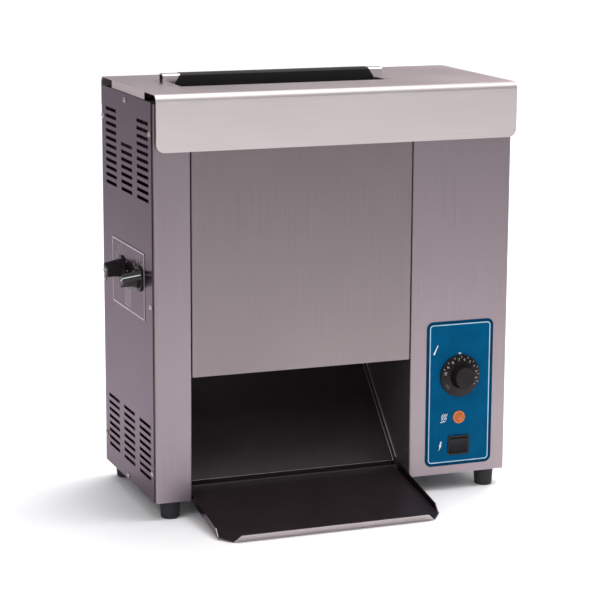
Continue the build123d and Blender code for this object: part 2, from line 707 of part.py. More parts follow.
def cam_shaft(name):
    """Shaft with a snail cam that pushes the plate evenly away from the platen."""
    y, z = KNOB_CENTRES[name]
    follower = pi if name == "front" else 0.0
    steps = 12
    rim = []
    for step in range(steps + 1):
        turn = CAM_TURN * step / steps
        angle = follower - turn
        height = CAM_LOW + CAM_RATE * turn
        across, along = cos(angle), sin(angle)
        rim.append((height * across + CAM_RATE * along, height * along - CAM_RATE * across))
    cam = make_face(Curve() + [Spline(*rim), Line(rim[-1], rim[0])])
    body = extrude(Plane.YZ.offset(CAM_SPAN[0]) * Pos(y, z) * cam, CAM_SPAN[1] - CAM_SPAN[0])
    return body + rod(CAM_SHAFT_SPAN, y, z, CAM_SHAFT_RADIUS)


def compression_knob(name):
    """Thin skirt, round boss and a wedge-shaped bar whose crest slopes down to the pointer end."""
    seat = -SHEET - KNOB_PLATE_THICKNESS - SIDE_KNOB_GAP
    skirt_bevel, boss_bevel = SIDE_KNOB_BEVELS
    skirt = rod((seat - SIDE_KNOB_SKIRT, seat), 0, 0, SIDE_KNOB_RADIUS)
    skirt = chamfer(skirt.edges().group_by(Axis.X)[0], skirt_bevel)
    boss_radius, boss_reach = SIDE_KNOB_BOSS
    boss = rod((seat - boss_reach, seat), 0, 0, boss_radius)
    boss = chamfer(boss.edges().group_by(Axis.X)[0], boss_bevel)
    back, crest = SIDE_KNOB_CREST
    tip, foot = seat - SIDE_KNOB_REACH, seat - SIDE_KNOB_SKIRT / 2
    wedge = Polyline((back, foot), (back, tip), (crest, tip), (SIDE_KNOB_TIP, foot), close=True)
    start = Plane(origin=(0, 0, -SIDE_KNOB_GRIP / 2), x_dir=(0, -1, 0), z_dir=(0, 0, 1))
    bar = extrude(start * make_face(wedge), SIDE_KNOB_GRIP)
    bar = fillet(bar.edges().group_by(Axis.X)[0], SIDE_KNOB_ROUNDING)
    bore = (CAM_SHAFT_SPAN[0] - OVERCUT, seat + OVERCUT)
    knob = skirt + boss + bar - rod(bore, 0, 0, CAM_SHAFT_RADIUS)
    return Pos(0, *KNOB_CENTRES[name]) * Rot(KNOB_POINTERS[name], 0, 0) * knob


def knob_plate():
    """Thin scale plate behind the two side knobs."""
    size = (KNOB_PLATE_Y[1] - KNOB_PLATE_Y[0], KNOB_PLATE_Z[1] - KNOB_PLATE_Z[0])
    centre = (sum(KNOB_PLATE_Y) / 2, sum(KNOB_PLATE_Z) / 2)
    face = Pos(*centre) * RectangleRounded(*size, KNOB_PLATE_CORNER)
    face -= [Pos(y, z) * Circle(KNOB_PLATE_HOLE) for y, z in KNOB_CENTRES.values()]
    return extrude(Plane.YZ.offset(-SHEET - KNOB_PLATE_THICKNESS) * face, KNOB_PLATE_THICKNESS)


# ---------------------------------------------------------------- drive

def reversing_gear_centres():
    """The two gears between the front and the rear drive gear."""
    return (PLATEN_CENTRE - GEAR_RADIUS, PLATEN_CENTRE + GEAR_RADIUS)


def involute(radius, base):
    """Involute angle at a radius."""
    roll = sqrt(max(radius / base, 1.0) ** 2 - 1)
    return roll - atan(roll)


def spur_gear(teeth, bore, centre, phase=0.0):
    """Involute spur gear with a tooth at the phase angle."""
    pitch = GEAR_MODULE * teeth / 2
    base = pitch * cos(PRESSURE_ANGLE)
    root, tip = pitch - 1.25 * GEAR_MODULE, pitch + GEAR_MODULE
    half = pi / (2 * teeth) - GEAR_BACKLASH / (2 * pitch) + involute(pitch, base)
    rim = []
    flank = (root, base, pitch, tip)
    for tooth in range(teeth):
        middle = phase + 2 * pi * tooth / teeth
        for radius in flank:
            angle = middle - half + involute(radius, base)
            rim.append((radius * cos(angle), radius * sin(angle)))
        for radius in reversed(flank):
            angle = middle + half - involute(radius, base)
            rim.append((radius * cos(angle), radius * sin(angle)))
    face = make_face(Polyline(*rim, close=True)) - Circle(bore)
    return extrude(Plane.YZ.offset(GEAR_SPAN[0]) * Pos(*centre) * face, GEAR_SPAN[1] - GEAR_SPAN[0])


def drive_gear(name):
    half_pitch = pi / GEAR_TEETH
    phase = 0.0 if name == "front" else half_pitch
    return spur_gear(GEAR_TEETH, SHAFT_RADIUS, (conveyor_y(LANES[name]), DRIVE_HEIGHT), phase)


def reversing_gear(name):
    half_pitch = pi / GEAR_TEETH
    phase = half_pitch if name == "front" else 0.0
    y = reversing_gear_centres()[0 if name == "front" else 1]
    return spur_gear(GEAR_TEETH, STUD_RADIUS + RUNNING_GAP, (y, DRIVE_HEIGHT), phase)


def gear_studs():
    """Shouldered studs in the right wall, one for each reversing gear."""
    shoulder_radius, shoulder_gap = STUD_SHOULDER
    studs = []
    for y in reversing_gear_centres():
        stud = rod((WALL_RIGHT, GEAR_SPAN[1] + SHAFT_END), y, DRIVE_HEIGHT, STUD_RADIUS)
        stud += rod((WALL_RIGHT + SHEET, GEAR_SPAN[0] - shoulder_gap), y, DRIVE_HEIGHT, shoulder_radius)
        studs.append(stud)
    return Compound(children=studs)


def motor_pinion():
    """Pinion on the gear motor's output shaft."""
    shaft = rod(MOTOR_SHAFT_SPAN, *MOTOR_AXIS, MOTOR_SHAFT_RADIUS)
    return spur_gear(PINION_TEETH, PINION_BORE, MOTOR_AXIS) + shaft


def motor_bracket():
    """Channel that stands the gear motor off the right wall."""
    y, z = MOTOR_AXIS
    wall = WALL_RIGHT + SHEET
    near, far = grown((y, y), MOTOR_BRACKET_WIDTH / 2)
    low, high = MOTOR_BRACKET_HEIGHTS
    outline = [(wall, near), (MOTOR_FACE, near), (MOTOR_FACE, far), (wall, far)]
    bracket = bent_sheet(outline, Plane.XY.offset(low), high - low, Side.LEFT)
    return bracket - rod(grown((MOTOR_FACE, MOTOR_FACE), SHEET + OVERCUT), y, z, MOTOR_BRACKET_HOLE)


def gear_motor():
    """Gearbox with its motor can and end cap."""
    y, z = MOTOR_AXIS
    can_radius, can_length = MOTOR_CAN
    cap_radius, cap_length = MOTOR_CAP
    back = MOTOR_FACE + GEARBOX_DEPTH
    across = grown((y, y), GEARBOX_WIDTH / 2)
    box = block((MOTOR_FACE, back), across, (z - GEARBOX_DROP, z + GEARBOX_RISE))
    box = chamfer(box.edges().filter_by(Axis.X), GEARBOX_CORNER)
    can = rod((back, back + can_length), y, z, can_radius)
    cap = rod((back + can_length, back + can_length + cap_length), y, z, cap_radius)
    bore = (MOTOR_FACE - OVERCUT, MOTOR_SHAFT_SPAN[1] + SHAFT_END)
    return box + can + cap - rod(bore, y, z, MOTOR_SHAFT_RADIUS + RUNNING_GAP)


# ---------------------------------------------------------------- controls

def control_plate():
    """Overlay on the right column, with rounded corners."""
    height = CONTROL_PLATE_Z[1] - CONTROL_PLATE_Z[0]
    face = Pos(CONTROL_X, sum(CONTROL_PLATE_Z) / 2) * RectangleRounded(
        CONTROL_PLATE_WIDTH, height, CONTROL_PLATE_CORNER
    )
    plate = extrude(Plane.XZ * face, CONTROL_PLATE_THICKNESS, dir=(0, -1, 0))
    for cut in control_cutouts():
        plate -= cut
    return plate


def thermostat_knob():
    """Dial with a sloping skirt for its numbers and a tapered fluted grip, on a short shaft."""
    front = -CONTROL_PLATE_THICKNESS - DIAL_GAP
    grip = [(radius, front - reach) for radius, reach in reversed(DIAL_GRIP)]
    skirt, bevel = DIAL_SKIRT
    shaft_radius, shaft_end = DIAL_SHAFT
    outline = Polyline(
        (0, grip[0][1]),
        *grip,
        (DIAL_RADIUS - bevel, front - skirt - bevel),
        (DIAL_RADIUS, front - skirt),
        (DIAL_RADIUS, front),
        (shaft_radius, front),
        (shaft_radius, shaft_end),
        (0, shaft_end),
        close=True,
    )
    face = Pos(CONTROL_X, 0, DIAL_Z) * make_face(outline)
    knob = revolve(face, Axis((CONTROL_X, 0, DIAL_Z), (0, 1, 0)))
    circle, radius, reach = DIAL_FLUTE
    for flute in range(DIAL_FLUTES):
        angle = 2 * pi * flute / DIAL_FLUTES
        x, z = CONTROL_X + circle * cos(angle), DIAL_Z + circle * sin(angle)
        knob -= rod_back(x, (grip[0][1] - OVERCUT, front - reach), z, radius)
    return knob


def thermostat_body():
    """Thermostat behind the right column, with its threaded neck and capillary."""
    width, depth, height = THERMOSTAT_SIZE
    across = grown((CONTROL_X, CONTROL_X), width / 2)
    rear = THERMOSTAT_FRONT + depth
    body = block(across, (THERMOSTAT_FRONT, rear), grown((DIAL_Z, DIAL_Z), height / 2))
    body = chamfer(body.edges().filter_by(Axis.Y), THERMOSTAT_CORNER)
    body += rod_back(CONTROL_X, (SHEET, THERMOSTAT_FRONT), DIAL_Z, THERMOSTAT_NECK)
    tube_radius, tube_length = CAPILLARY
    x, z = CONTROL_X + CAPILLARY_PLACE[0], DIAL_Z + CAPILLARY_PLACE[1]
    body += rod_back(x, (rear, rear + tube_length), z, tube_radius)
    shaft_radius, shaft_end = DIAL_SHAFT
    return body - rod_back(CONTROL_X, (0, shaft_end + OVERCUT), DIAL_Z, shaft_radius + RUNNING_GAP)


def pilot_lens():
    """Domed lens of the heating lamp."""
    front = -CONTROL_PLATE_THICKNESS
    rim, crown = front - LAMP_RIM, front - LAMP_CROWN
    bulge = rim - crown
    dome_radius = (LAMP_RADIUS**2 + bulge**2) / (2 * bulge)
    base = Polyline((0, crown), (0, front), (LAMP_RADIUS, front), (LAMP_RADIUS, rim))
    centre = (0, crown + dome_radius)
    sweep = -degrees(atan(LAMP_RADIUS / (dome_radius - bulge)))
    dome = CenterArc(centre, dome_radius, -90 - sweep, sweep)
    face = Pos(CONTROL_X, 0, LAMP_Z) * make_face(Curve() + [base, dome])
    return revolve(face, Axis((CONTROL_X, 0, LAMP_Z), (0, 1, 0)))


def pilot_housing():
    """Lamp barrel and its clip behind the column."""
    barrel_radius, barrel_end = LAMP_BARREL
    clip_radius, clip_end = LAMP_CLIP
    barrel = rod_back(CONTROL_X, (-CONTROL_PLATE_THICKNESS, barrel_end), LAMP_Z, barrel_radius)
    return barrel + rod_back(CONTROL_X, (SHEET, clip_end), LAMP_Z, clip_radius)


def switch_body():
    """Snap-in switch: bezel in front of the plate, body behind it, open for the rocker."""
    width, height = SWITCH_SIZE
    front = -CONTROL_PLATE_THICKNESS
    place = Plane.XZ * Pos(CONTROL_X, SWITCH_Z)
    rim = place * RectangleRounded(width, height, SWITCH_CORNER)
    bezel = extrude(rim, SWITCH_BEZEL - front, dir=(0, -1, 0))
    bezel -= block((0, CABINET_WIDTH), (front, OVERCUT), grown((SWITCH_Z, SWITCH_Z), height))
    section = place * Rectangle(width - 2 * SWITCH_BODY_INSET, height - 2 * SWITCH_BODY_INSET)
    body = extrude(section, SWITCH_DEPTH, dir=(0, 1, 0))
    body += extrude(section, CONTROL_PLATE_THICKNESS, dir=(0, -1, 0))
    opening = place * Rectangle(ROCKER_SIZE[0] + ROCKER_ROOM[0], ROCKER_SIZE[1] + ROCKER_ROOM[1])
    well = extrude(opening, SWITCH_WELL, dir=(0, 1, 0))
    well += extrude(opening, 2 * SWITCH_BEZEL, dir=(0, -1, 0))
    pivot = rod((CONTROL_X - width, CONTROL_X + width), ROCKER_AXIS, SWITCH_Z, ROCKER_PIN + RUNNING_GAP)
    return body + bezel - well - pivot


def power_rocker():
    """Rocker with two faces that meet in a shallow valley, pressed in at its upper half."""
    width, height = ROCKER_SIZE
    half = height / 2
    rim = -CONTROL_PLATE_THICKNESS - SWITCH_BEZEL
    pressed = rim + CONTROL_PLATE_THICKNESS
    rise = half * tan(radians(ROCKER_TILT))
    shallow, deep = ROCKER_BACK
    face = Polyline(
        (pressed, half - 1.0),
        (pressed - rise * 0.2, 0),
        (rim - rise * 1.9, -half + 1.0),
        (rim + shallow, -half + 0.2),
        (rim + deep, 0),
        (rim + shallow, half - 0.4),
        close=True,
    )
    start = Plane.YZ.offset(CONTROL_X - width / 2)
    rocker = extrude(start * Pos(0, SWITCH_Z) * make_face(face), width)
    reach = SWITCH_SIZE[0] / 2 - ROCKER_PIN_INSET
    return rocker + rod((CONTROL_X - reach, CONTROL_X + reach), ROCKER_AXIS, SWITCH_Z, ROCKER_PIN)


def fan_frame():
    """Square fan housing with a round duct, a motor disc and four struts."""
    x, z = FAN_CENTRE
    rear = REAR_INSIDE
    depth = (rear - FAN_DEPTH, rear)
    half = FAN_SIZE / 2
    frame = block((x - half, x + half), depth, (z - half, z + half))
    frame = fillet(frame.edges().filter_by(Axis.Y), FAN_CORNER)
    frame -= rod_back(x, grown(depth, OVERCUT), z, half - FAN_WALL)
    for turn in (45, 135):
        bar = Rot(0, turn, 0) * Box(FAN_SIZE, FAN_STRUT, FAN_STRUT)
        frame += Pos(x, rear - FAN_STRUT / 2, z) * bar
    return frame + rod_back(x, (rear - FAN_STRUT, rear), z, FAN_MOTOR_RADIUS)


def fan_rotor():
    """Hub with pitched blades."""
    x, z = FAN_CENTRE
    front = REAR_INSIDE - FAN_DEPTH + FAN_WALL
    rear = REAR_INSIDE - FAN_STRUT - 1.0
    hub = rod_back(x, (front, rear), z, FAN_HUB_RADIUS)
    hub = fillet(hub.edges().group_by(Axis.Y)[0], FAN_WALL)
    blade = Pos(FAN_BLADE_CENTRE, 0, 0) * Rot(FAN_BLADE_PITCH, 0, 0) * Box(*FAN_BLADE)
    for turn in range(FAN_BLADES):
        hub += Pos(x, (front + rear) / 2, z) * Rot(0, 360 * turn / FAN_BLADES, 0) * blade
    return hub


def terminal_block():
    """Mains terminals on the cabinet floor."""
    terminals = block(TERMINAL_X, TERMINAL_Y, (SHEET, TERMINAL_TOP))
    radius, height = TERMINAL_SCREW
    for x in TERMINAL_SCREWS:
        terminals += rod_up(x, sum(TERMINAL_Y) / 2, (TERMINAL_TOP, TERMINAL_TOP + height), radius)
    return terminals


def high_limit_switch():
    """Safety cut-out on the right wall, beside the platen."""
    y, z = LIMIT_CENTRE
    radius, reach = LIMIT_DISC
    face = WALL_RIGHT + reach
    switch = rod((WALL_RIGHT + SHEET, face), y, z, radius)
    length, thickness, height = LIMIT_TAB
    for offset in LIMIT_TABS:
        tab = (y + offset, y + offset + thickness)
        switch += block((face, face + length), tab, grown((z, z), height / 2))
    return switch


def cord_gland():
    """Cable gland in the rear cover: flange outside, nut inside."""
    x, z = GLAND_CENTRE
    inner, outer = CABINET_DEPTH - GLAND_LENGTH, CABINET_DEPTH + GLAND_FLANGE
    gland = rod_back(x, (inner, outer), z, GLAND_RADIUS)
    gland += rod_back(x, (REAR_INSIDE - GLAND_NUT, REAR_INSIDE), z, GLAND_FLANGE_RADIUS)
    gland += rod_back(x, (CABINET_DEPTH, outer), z, GLAND_FLANGE_RADIUS)
    return gland - rod_back(x, grown((inner, outer), OVERCUT), z, GLAND_BORE)


# ---------------------------------------------------------------- outlet

def chute():
    """Coated slide under the belts, flanged at both sides, standing on a folded foot."""
    rise, run = CHUTE_TOP[1] - CHUTE_FOOT[1], CHUTE_TOP[0] - CHUTE_FOOT[0]
    length = sqrt(rise**2 + run**2)
    along = (0, run / length, rise / length)
    start = Plane(origin=(0, *CHUTE_FOOT), x_dir=(1, 0, 0), z_dir=along)
    left, right = WALL_LEFT + CHUTE_GAP, WALL_RIGHT - CHUTE_GAP
    outline = [(left, -CHUTE_FLANGE), (left, 0), (right, 0), (right, -CHUTE_FLANGE)]
    slide = bent_sheet(outline, start, length, Side.RIGHT)
    foot_y, foot_z = CHUTE_FOOT
    inset = CHUTE_FOOT_INSET
    foot = block((left + inset, right - inset), (foot_y, foot_y + SHEET), (SHEET, foot_z + SHEET / 2))
    return slide + foot


def landing_tray():
    """Sloping tray hooked on the cabinet's floor, with side lips, a front lip and open corners."""
    inset, cut = TRAY_CORNER
    length, width = TRAY_LENGTH, TRAY_WIDTH
    floor = Polyline(
        (0, 1),
        (width, 1),
        (width, cut - length),
        (width - inset, -length),
        (inset, -length),
        (0, cut - length),
        close=True,
    )
    tray = extrude(make_face(floor), SHEET)
    rear_lip, front_lip = TRAY_LIP
    lip_end = cut - length
    lip = Polyline((0, 0), (0, rear_lip), (lip_end + TRAY_LIP_END, front_lip), (lip_end, 0), close=True)
    for x in (0, width - SHEET):
        tray += extrude(Plane.YZ.offset(x) * make_face(lip), SHEET)
    slant = TRAY_FRONT_LIP
    face = Polyline(
        (inset, 0), (width - inset, 0), (width - inset - slant, slant), (inset + slant, slant), close=True
    )
    front = extrude(Plane.XZ * make_face(face), SHEET, dir=(0, 1, 0))
    tray += Pos(0, -length, 0) * Rot(TRAY_LEAN, 0, 0) * front
    place = Pos((WALL_LEFT + WALL_RIGHT - width) / 2, *TRAY_REAR) * Rot(TRAY_SLOPE, 0, 0)
    hook_y = TRAY_REAR[0]
    hook_top = HANGER_TOP + HOOK_RISE
    outline = [
        (hook_y, TRAY_REAR[1]),
        (hook_y, hook_top),
        (hook_y + HOOK_REACH, hook_top),
        (hook_y + HOOK_REACH, HOOK_END),
    ]
    left, right = grown((WALL_LEFT, WALL_RIGHT), -HOOK_INSET)
    hook = bent_sheet(outline, Plane.YZ.offset(left), right - left, Side.RIGHT)
    return place * tray + hook


# ---------------------------------------------------------------- feet and screws

def foot_places():
    """Centres of the four feet."""
    places = {}
    inset_x, inset_y = FOOT_INSET
    for row, y in (("front", inset_y), ("rear", CABINET_DEPTH - inset_y)):
        for side, x in (("left", inset_x), ("right", CABINET_WIDTH - inset_x)):
            places[f"{row}_{side}"] = (x, y)
    return places


def foot(x, y):
    """Tapered rubber foot with a recess for its screw."""
    recess_radius, recess_depth = FOOT_RECESS
    outline = Polyline(
        (recess_radius, -FOOT_HEIGHT),
        (FOOT_BOTTOM_RADIUS - FOOT_EDGE, -FOOT_HEIGHT),
        (FOOT_BOTTOM_RADIUS, -FOOT_HEIGHT + FOOT_EDGE),
        (FOOT_TOP_RADIUS, 0),
        (FOOT_SCREW_HOLE, 0),
        (FOOT_SCREW_HOLE, -FOOT_HEIGHT + recess_depth),
        (recess_radius, -FOOT_HEIGHT + recess_depth),
        close=True,
    )
    return Pos(x, y, 0) * revolve(Plane.XZ * make_face(outline), Axis.Z)


def foot_screws():
    """One screw up through each foot into the floor."""
    seat = -FOOT_HEIGHT + FOOT_RECESS[1]
    head_radius, head = FOOT_SCREW_HEAD
    shank_radius, shank_end = FOOT_SCREW
    screws = []
    for x, y in foot_places().values():
        screw = rod_up(x, y, (seat - head, seat), head_radius)
        screws.append(screw + rod_up(x, y, (seat - OVERCUT, shank_end), shank_radius))
    return Compound(children=screws)


def side_screws():
    """Pan-head screws of both side panels."""
    screws = []
    for y, z in SIDE_SCREWS:
        for face, outward in ((SIDE_PLANES["left"][0], -1), (SIDE_PLANES["right"][1], 1)):
            head = sorted((face, face + outward * SCREW_HEAD))
            shank = sorted((face, face - outward * SCREW_LENGTH))
            screws.append(rod(head, y, z, SCREW_HEAD_RADIUS) + rod(shank, y, z, SCREW_RADIUS))
    return Compound(children=screws)


def rear_screws():
    """Screws of the rear cover and of the top cover's rear flange."""
    screws = []
    for places, face in ((REAR_SCREWS, CABINET_DEPTH), (COVER_SCREWS, CABINET_DEPTH + SHEET)):
        for x, z in places:
            head = rod_back(x, (face, face + SCREW_HEAD), z, SCREW_HEAD_RADIUS)
            screws.append(head + rod_back(x, (face - SCREW_LENGTH, face), z, SCREW_RADIUS))
    return Compound(children=screws)


# ---------------------------------------------------------------- assembly

def build():
    """Every node by name, in cabinet coordinates."""
    nodes = {
        "base_pan": base_pan(),
        "rear_cover": rear_cover(),
        "front_cover": front_cover(),
        "top_cover": top_cover(),
        "top_rails": top_rails(),
        "feed_guide": feed_guide(),
        "release_sheet": release_sheet(),
        "platen": platen(),
        "platen_brackets": platen_brackets(),
        "heater_rods": heater_rods(),
        "knob_plate": knob_plate(),
        "gear_studs": gear_studs(),
        "motor_pinion": motor_pinion(),
        "motor_bracket": motor_bracket(),
        "gear_motor": gear_motor(),
        "control_plate": control_plate(),
        "thermostat_knob": thermostat_knob(),
        "thermostat_body": thermostat_body(),
        "pilot_lens": pilot_lens(),
        "pilot_housing": pilot_housing(),
        "switch_body": switch_body(),
        "power_rocker": power_rocker(),
        "fan_frame": fan_frame(),
        "fan_rotor": fan_rotor(),
        "terminal_block": terminal_block(),
        "high_limit_switch": high_limit_switch(),
        "cord_gland": cord_gland(),
        "chute": chute(),
        "landing_tray": landing_tray(),
        "foot_screws": foot_screws(),
        "side_panel_screws": side_screws(),
        "rear_cover_screws": rear_screws(),
    }
    for side in ("left", "right"):
        nodes[f"{side}_end_frame"] = end_frame(side)
        nodes[f"{side}_side_panel"] = side_panel(side)
        nodes[f"{side}_bushings"] = bushings(side)
    for name, lane in LANES.items():
        nodes[f"{name}_belt"] = belt(lane)
        nodes[f"{name}_drive_roller"] = roller(lane, DRIVE_HEIGHT, GEAR_SPAN[1] + SHAFT_END)
        nodes[f"{name}_idler_roller"] = roller(lane, IDLER_HEIGHT, WALL_RIGHT + JOURNAL_REACH)
        nodes[f"{name}_pressure_plate"] = pressure_plate(name)
        nodes[f"{name}_cam_shaft"] = cam_shaft(name)
        nodes[f"{name}_compression_knob"] = compression_knob(name)
        nodes[f"{name}_drive_gear"] = drive_gear(name)
        nodes[f"{name}_reversing_gear"] = reversing_gear(name)
    for place, centre in foot_places().items():
        nodes[f"foot_{place}"] = foot(*centre)
    return nodes


def main():
    """Write one STEP file per node, with the origin under the middle of the whole box."""
    nodes = build()
    boxes = [shape.bounding_box() for shape in nodes.values()]
    middle_x = (min(b.min.X for b in boxes) + max(b.max.X for b in boxes)) / 2
    middle_y = (min(b.min.Y for b in boxes) + max(b.max.Y for b in boxes)) / 2
    print("origin in cabinet coordinates:", round(middle_x, 3), round(middle_y, 3), -FOOT_HEIGHT)
    os.makedirs("parts", exist_ok=True)
    for name, shape in nodes.items():
        export_step(Pos(-middle_x, -middle_y, FOOT_HEIGHT) * shape, f"parts/{name}.step")


main()
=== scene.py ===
# %% [markdown]
# # Dressing an upright contact toaster
# Bun halves go in at two slots in the top, belts carry them down past a hot platen, and they slide
# over a chute onto a tray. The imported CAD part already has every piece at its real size, so this
# lesson only gives the pieces their finish, rounds their edges, and adds what is printed on them.
# The first cell loads that part as a fixed frame and keeps the box that it fills.

# %% Load the frame
import json
from math import cos, pi, radians, sin

import bmesh
import bpy
from mathutils import Matrix, Vector

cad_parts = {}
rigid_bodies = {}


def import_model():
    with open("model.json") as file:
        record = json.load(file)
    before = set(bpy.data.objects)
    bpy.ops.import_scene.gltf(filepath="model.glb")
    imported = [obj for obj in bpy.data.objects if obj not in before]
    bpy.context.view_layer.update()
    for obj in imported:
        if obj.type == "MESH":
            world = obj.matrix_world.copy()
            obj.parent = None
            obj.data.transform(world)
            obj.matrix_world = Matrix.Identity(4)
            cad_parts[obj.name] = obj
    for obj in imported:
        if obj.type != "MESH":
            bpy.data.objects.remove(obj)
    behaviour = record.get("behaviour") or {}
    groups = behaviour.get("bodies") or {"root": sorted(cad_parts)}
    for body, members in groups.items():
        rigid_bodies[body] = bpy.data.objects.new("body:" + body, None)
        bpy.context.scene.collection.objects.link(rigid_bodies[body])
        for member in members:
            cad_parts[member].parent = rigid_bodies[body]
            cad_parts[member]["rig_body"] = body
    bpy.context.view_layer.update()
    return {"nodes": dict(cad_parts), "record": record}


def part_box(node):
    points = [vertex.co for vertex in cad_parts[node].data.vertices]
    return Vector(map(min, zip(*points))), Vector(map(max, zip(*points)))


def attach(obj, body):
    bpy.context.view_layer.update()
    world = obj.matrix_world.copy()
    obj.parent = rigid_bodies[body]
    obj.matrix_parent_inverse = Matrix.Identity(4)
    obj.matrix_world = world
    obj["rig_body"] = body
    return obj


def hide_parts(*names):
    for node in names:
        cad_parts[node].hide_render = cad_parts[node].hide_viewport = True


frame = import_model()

nodes = frame["nodes"]

# %% [markdown]
# ## One corner to measure from
# A fitter measures a cabinet from one corner, so the lesson does the same: every place below is in
# millimetres to the right of, behind and above the cabinet's front bottom left corner. That corner
# is read from the left end frame, so nothing here has to be fitted again if the part moves.

# %% Places in millimetres
MM = 0.001
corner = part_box("left_end_frame")[0]


def at(x, y, z):
    """Point in the frame, from millimetres in the cabinet."""
    return corner + Vector((x, y, z)) * MM


def cabinet_box(node):
    """Lowest and highest corner of a CAD node, in millimetres in the cabinet."""
    low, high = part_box(node)
    return (low - corner) / MM, (high - corner) / MM


cabinet = cabinet_box("rear_cover")[1]
print("cabinet is", round(cabinet.x), "wide and", round(cabinet.y), "deep, in millimetres")

# %% [markdown]
# ## Colours and nodes
# Colours are picked as people see them, as sRGB hex values, but a renderer adds light linearly, so
# one function converts them. Every material is a small network of nodes. One function adds a node
# and links it, which keeps each recipe short enough to read.

# %% Colour and node helpers
def linear(hex_colour):
    """Linear RGBA of an sRGB hex colour."""
    shares = [int(hex_colour[start:start + 2], 16) / 255 for start in (1, 3, 5)]
    return [s / 12.92 if s <= 0.04045 else ((s + 0.055) / 1.055) ** 2.4 for s in shares] + [1.0]


def add(tree, kind, inputs=None, **settings):
    """Add a node, set its properties, and set or link its inputs."""
    node = tree.nodes.new(kind)
    for name, value in settings.items():
        setattr(node, name, value)
    for name, value in (inputs or {}).items():
        if isinstance(value, bpy.types.NodeSocket):
            tree.links.new(value, node.inputs[name])
        else:
            node.inputs[name].default_value = value
    return node


def finish(name, **shader_values):
    """New material with one Principled shader, and its node tree."""
    material = bpy.data.materials.new(name)
    material.use_nodes = True
    tree = material.node_tree
    tree.nodes.clear()
    sockets = {key.replace("_", " ").title().replace("Ior", "IOR"): v for key, v in shader_values.items()}
    shader = add(tree, "ShaderNodeBsdfPrincipled", sockets)
    add(tree, "ShaderNodeOutputMaterial", {"Surface": shader.outputs[0]})
    return material, tree, shader


def shades(hex_colour, darkness):
    """Light and dark shade of a colour, for a pattern to run between."""
    return linear(hex_colour), [c * darkness for c in linear(hex_colour)]


def noise(tree, size_mm, detail=2.0, contrast=(0.3, 0.7), to=(0.0, 1.0)):
    """Noise whose features measure size_mm along X, Y and Z, spread over a range of values."""
    place = add(tree, "ShaderNodeTexCoord").outputs["Object"]
    scale = [1 / (size * MM) for size in size_mm]
    stretched = add(tree, "ShaderNodeMapping", {"Vector": place, "Scale": scale}).outputs[0]
    cloud = add(tree, "ShaderNodeTexNoise", {"Vector": stretched, "Scale": 1.0, "Detail": detail})
    limits = {"Value": cloud.outputs[0], "From Min": contrast[0], "From Max": contrast[1]}
    return add(tree, "ShaderNodeMapRange", {**limits, "To Min": to[0], "To Max": to[1]}).outputs[0]


# %% [markdown]
# ## Brushed stainless
# The cabinet is stainless sheet, belt-ground so that fine lines run one way: up the sides and
# columns, and across the front flange of the cover. Real grinding lines stand about 0.2 mm apart.
# Drawn that fine they would vanish between pixels, so they are drawn 1 mm wide and 120 mm long. The
# lines vary the colour and roughness a little, and a slow cloud over them keeps large panels alive.
# At a grazing angle bare metal turns into a white mirror, so the side and cover finishes get an edge
# colour of their own that dims and tints those reflections. The base colours are lit and shaded copies
# of one stainless: the sides carry painted shade, the columns and the cover carry painted light.

# %% Brushed stainless
GRIND_WIDTH = 1.0
GRIND_LENGTH = 120.0
GRIND_HEIGHT = 0.05
GRIND_BUMP = 0.12
GRIND_ROUGHNESS = 0.08
PANEL_CLOUD = 160.0
CLOUD_ROUGHNESS = 0.03


def brushed(name, hex_colour, along, roughness, contrast=0.86, edge_hex="#ffffff"):
    """Stainless ground along one axis: X, Y or Z. The edge colour tints grazing reflections."""
    lines = [GRIND_LENGTH if axis == along else GRIND_WIDTH for axis in "XYZ"]
    material, tree, shader = finish(name, metallic=1.0, specular_tint=linear(edge_hex))
    light, dark = shades(hex_colour, contrast)
    streaks = noise(tree, lines, 3.0, (0.25, 0.75))
    colour = {"Factor": streaks, 6: dark, 7: light}
    mixed = add(tree, "ShaderNodeMix", colour, data_type="RGBA").outputs[2]
    tree.links.new(mixed, shader.inputs["Base Color"])
    span = (roughness - CLOUD_ROUGHNESS, roughness + CLOUD_ROUGHNESS)
    cloud = noise(tree, [PANEL_CLOUD] * 3, to=span)
    spread = add(tree, "ShaderNodeMath", {0: streaks, 1: GRIND_ROUGHNESS}, operation="MULTIPLY").outputs[0]
    total = add(tree, "ShaderNodeMath", {0: cloud, 1: spread}, operation="ADD").outputs[0]
    tree.links.new(total, shader.inputs["Roughness"])
    relief = {"Height": streaks, "Strength": GRIND_BUMP, "Distance": GRIND_HEIGHT * MM}
    tree.links.new(add(tree, "ShaderNodeBump", relief).outputs[0], shader.inputs["Normal"])
    return material


ground_upright = brushed("stainless_front_upright", "#978c8e", "Z", 0.30)
# Painted light: the columns are the same stainless as the front, painted a little lighter.
columns_painted_light = brushed("stainless_columns_painted_light", "#a3979c", "Z", 0.30)
# Painted shade: the sides are the same stainless as the front, painted darker.
sides_painted_shade = brushed("stainless_sides_painted_shade", "#70646c", "Z", 0.20, 0.92, "#d8d1d6")
ground_inside = brushed("stainless_inner_walls", "#978e93", "Z", 0.48, 0.93)
# Painted light: the cover is the same stainless as the front, painted near white.
across_painted_light = brushed("stainless_across_painted_light", "#efe6e5", "X", 0.38, 0.93, "#c6b7c0")
polished = brushed("stainless_polished", "#f0ecee", "X", 0.16, 0.95)
print("stainless:", ground_upright.name, columns_painted_light.name, sides_painted_shade.name, across_painted_light.name)

# %% [markdown]
# ## The plainer metals
# Inside the cabinet are zinc-coated sheet, cast aluminium, turned steel and bronze. They share one
# recipe: a metal colour, a typical roughness, and a mottled cloud for the unevenness that casting,
# zinc flowers or turning leave. The cloud's size is the only thing that tells them apart.

# %% Plain metals
MOTTLE_DARKNESS = 0.8
MOTTLE_ROUGHNESS = 0.06


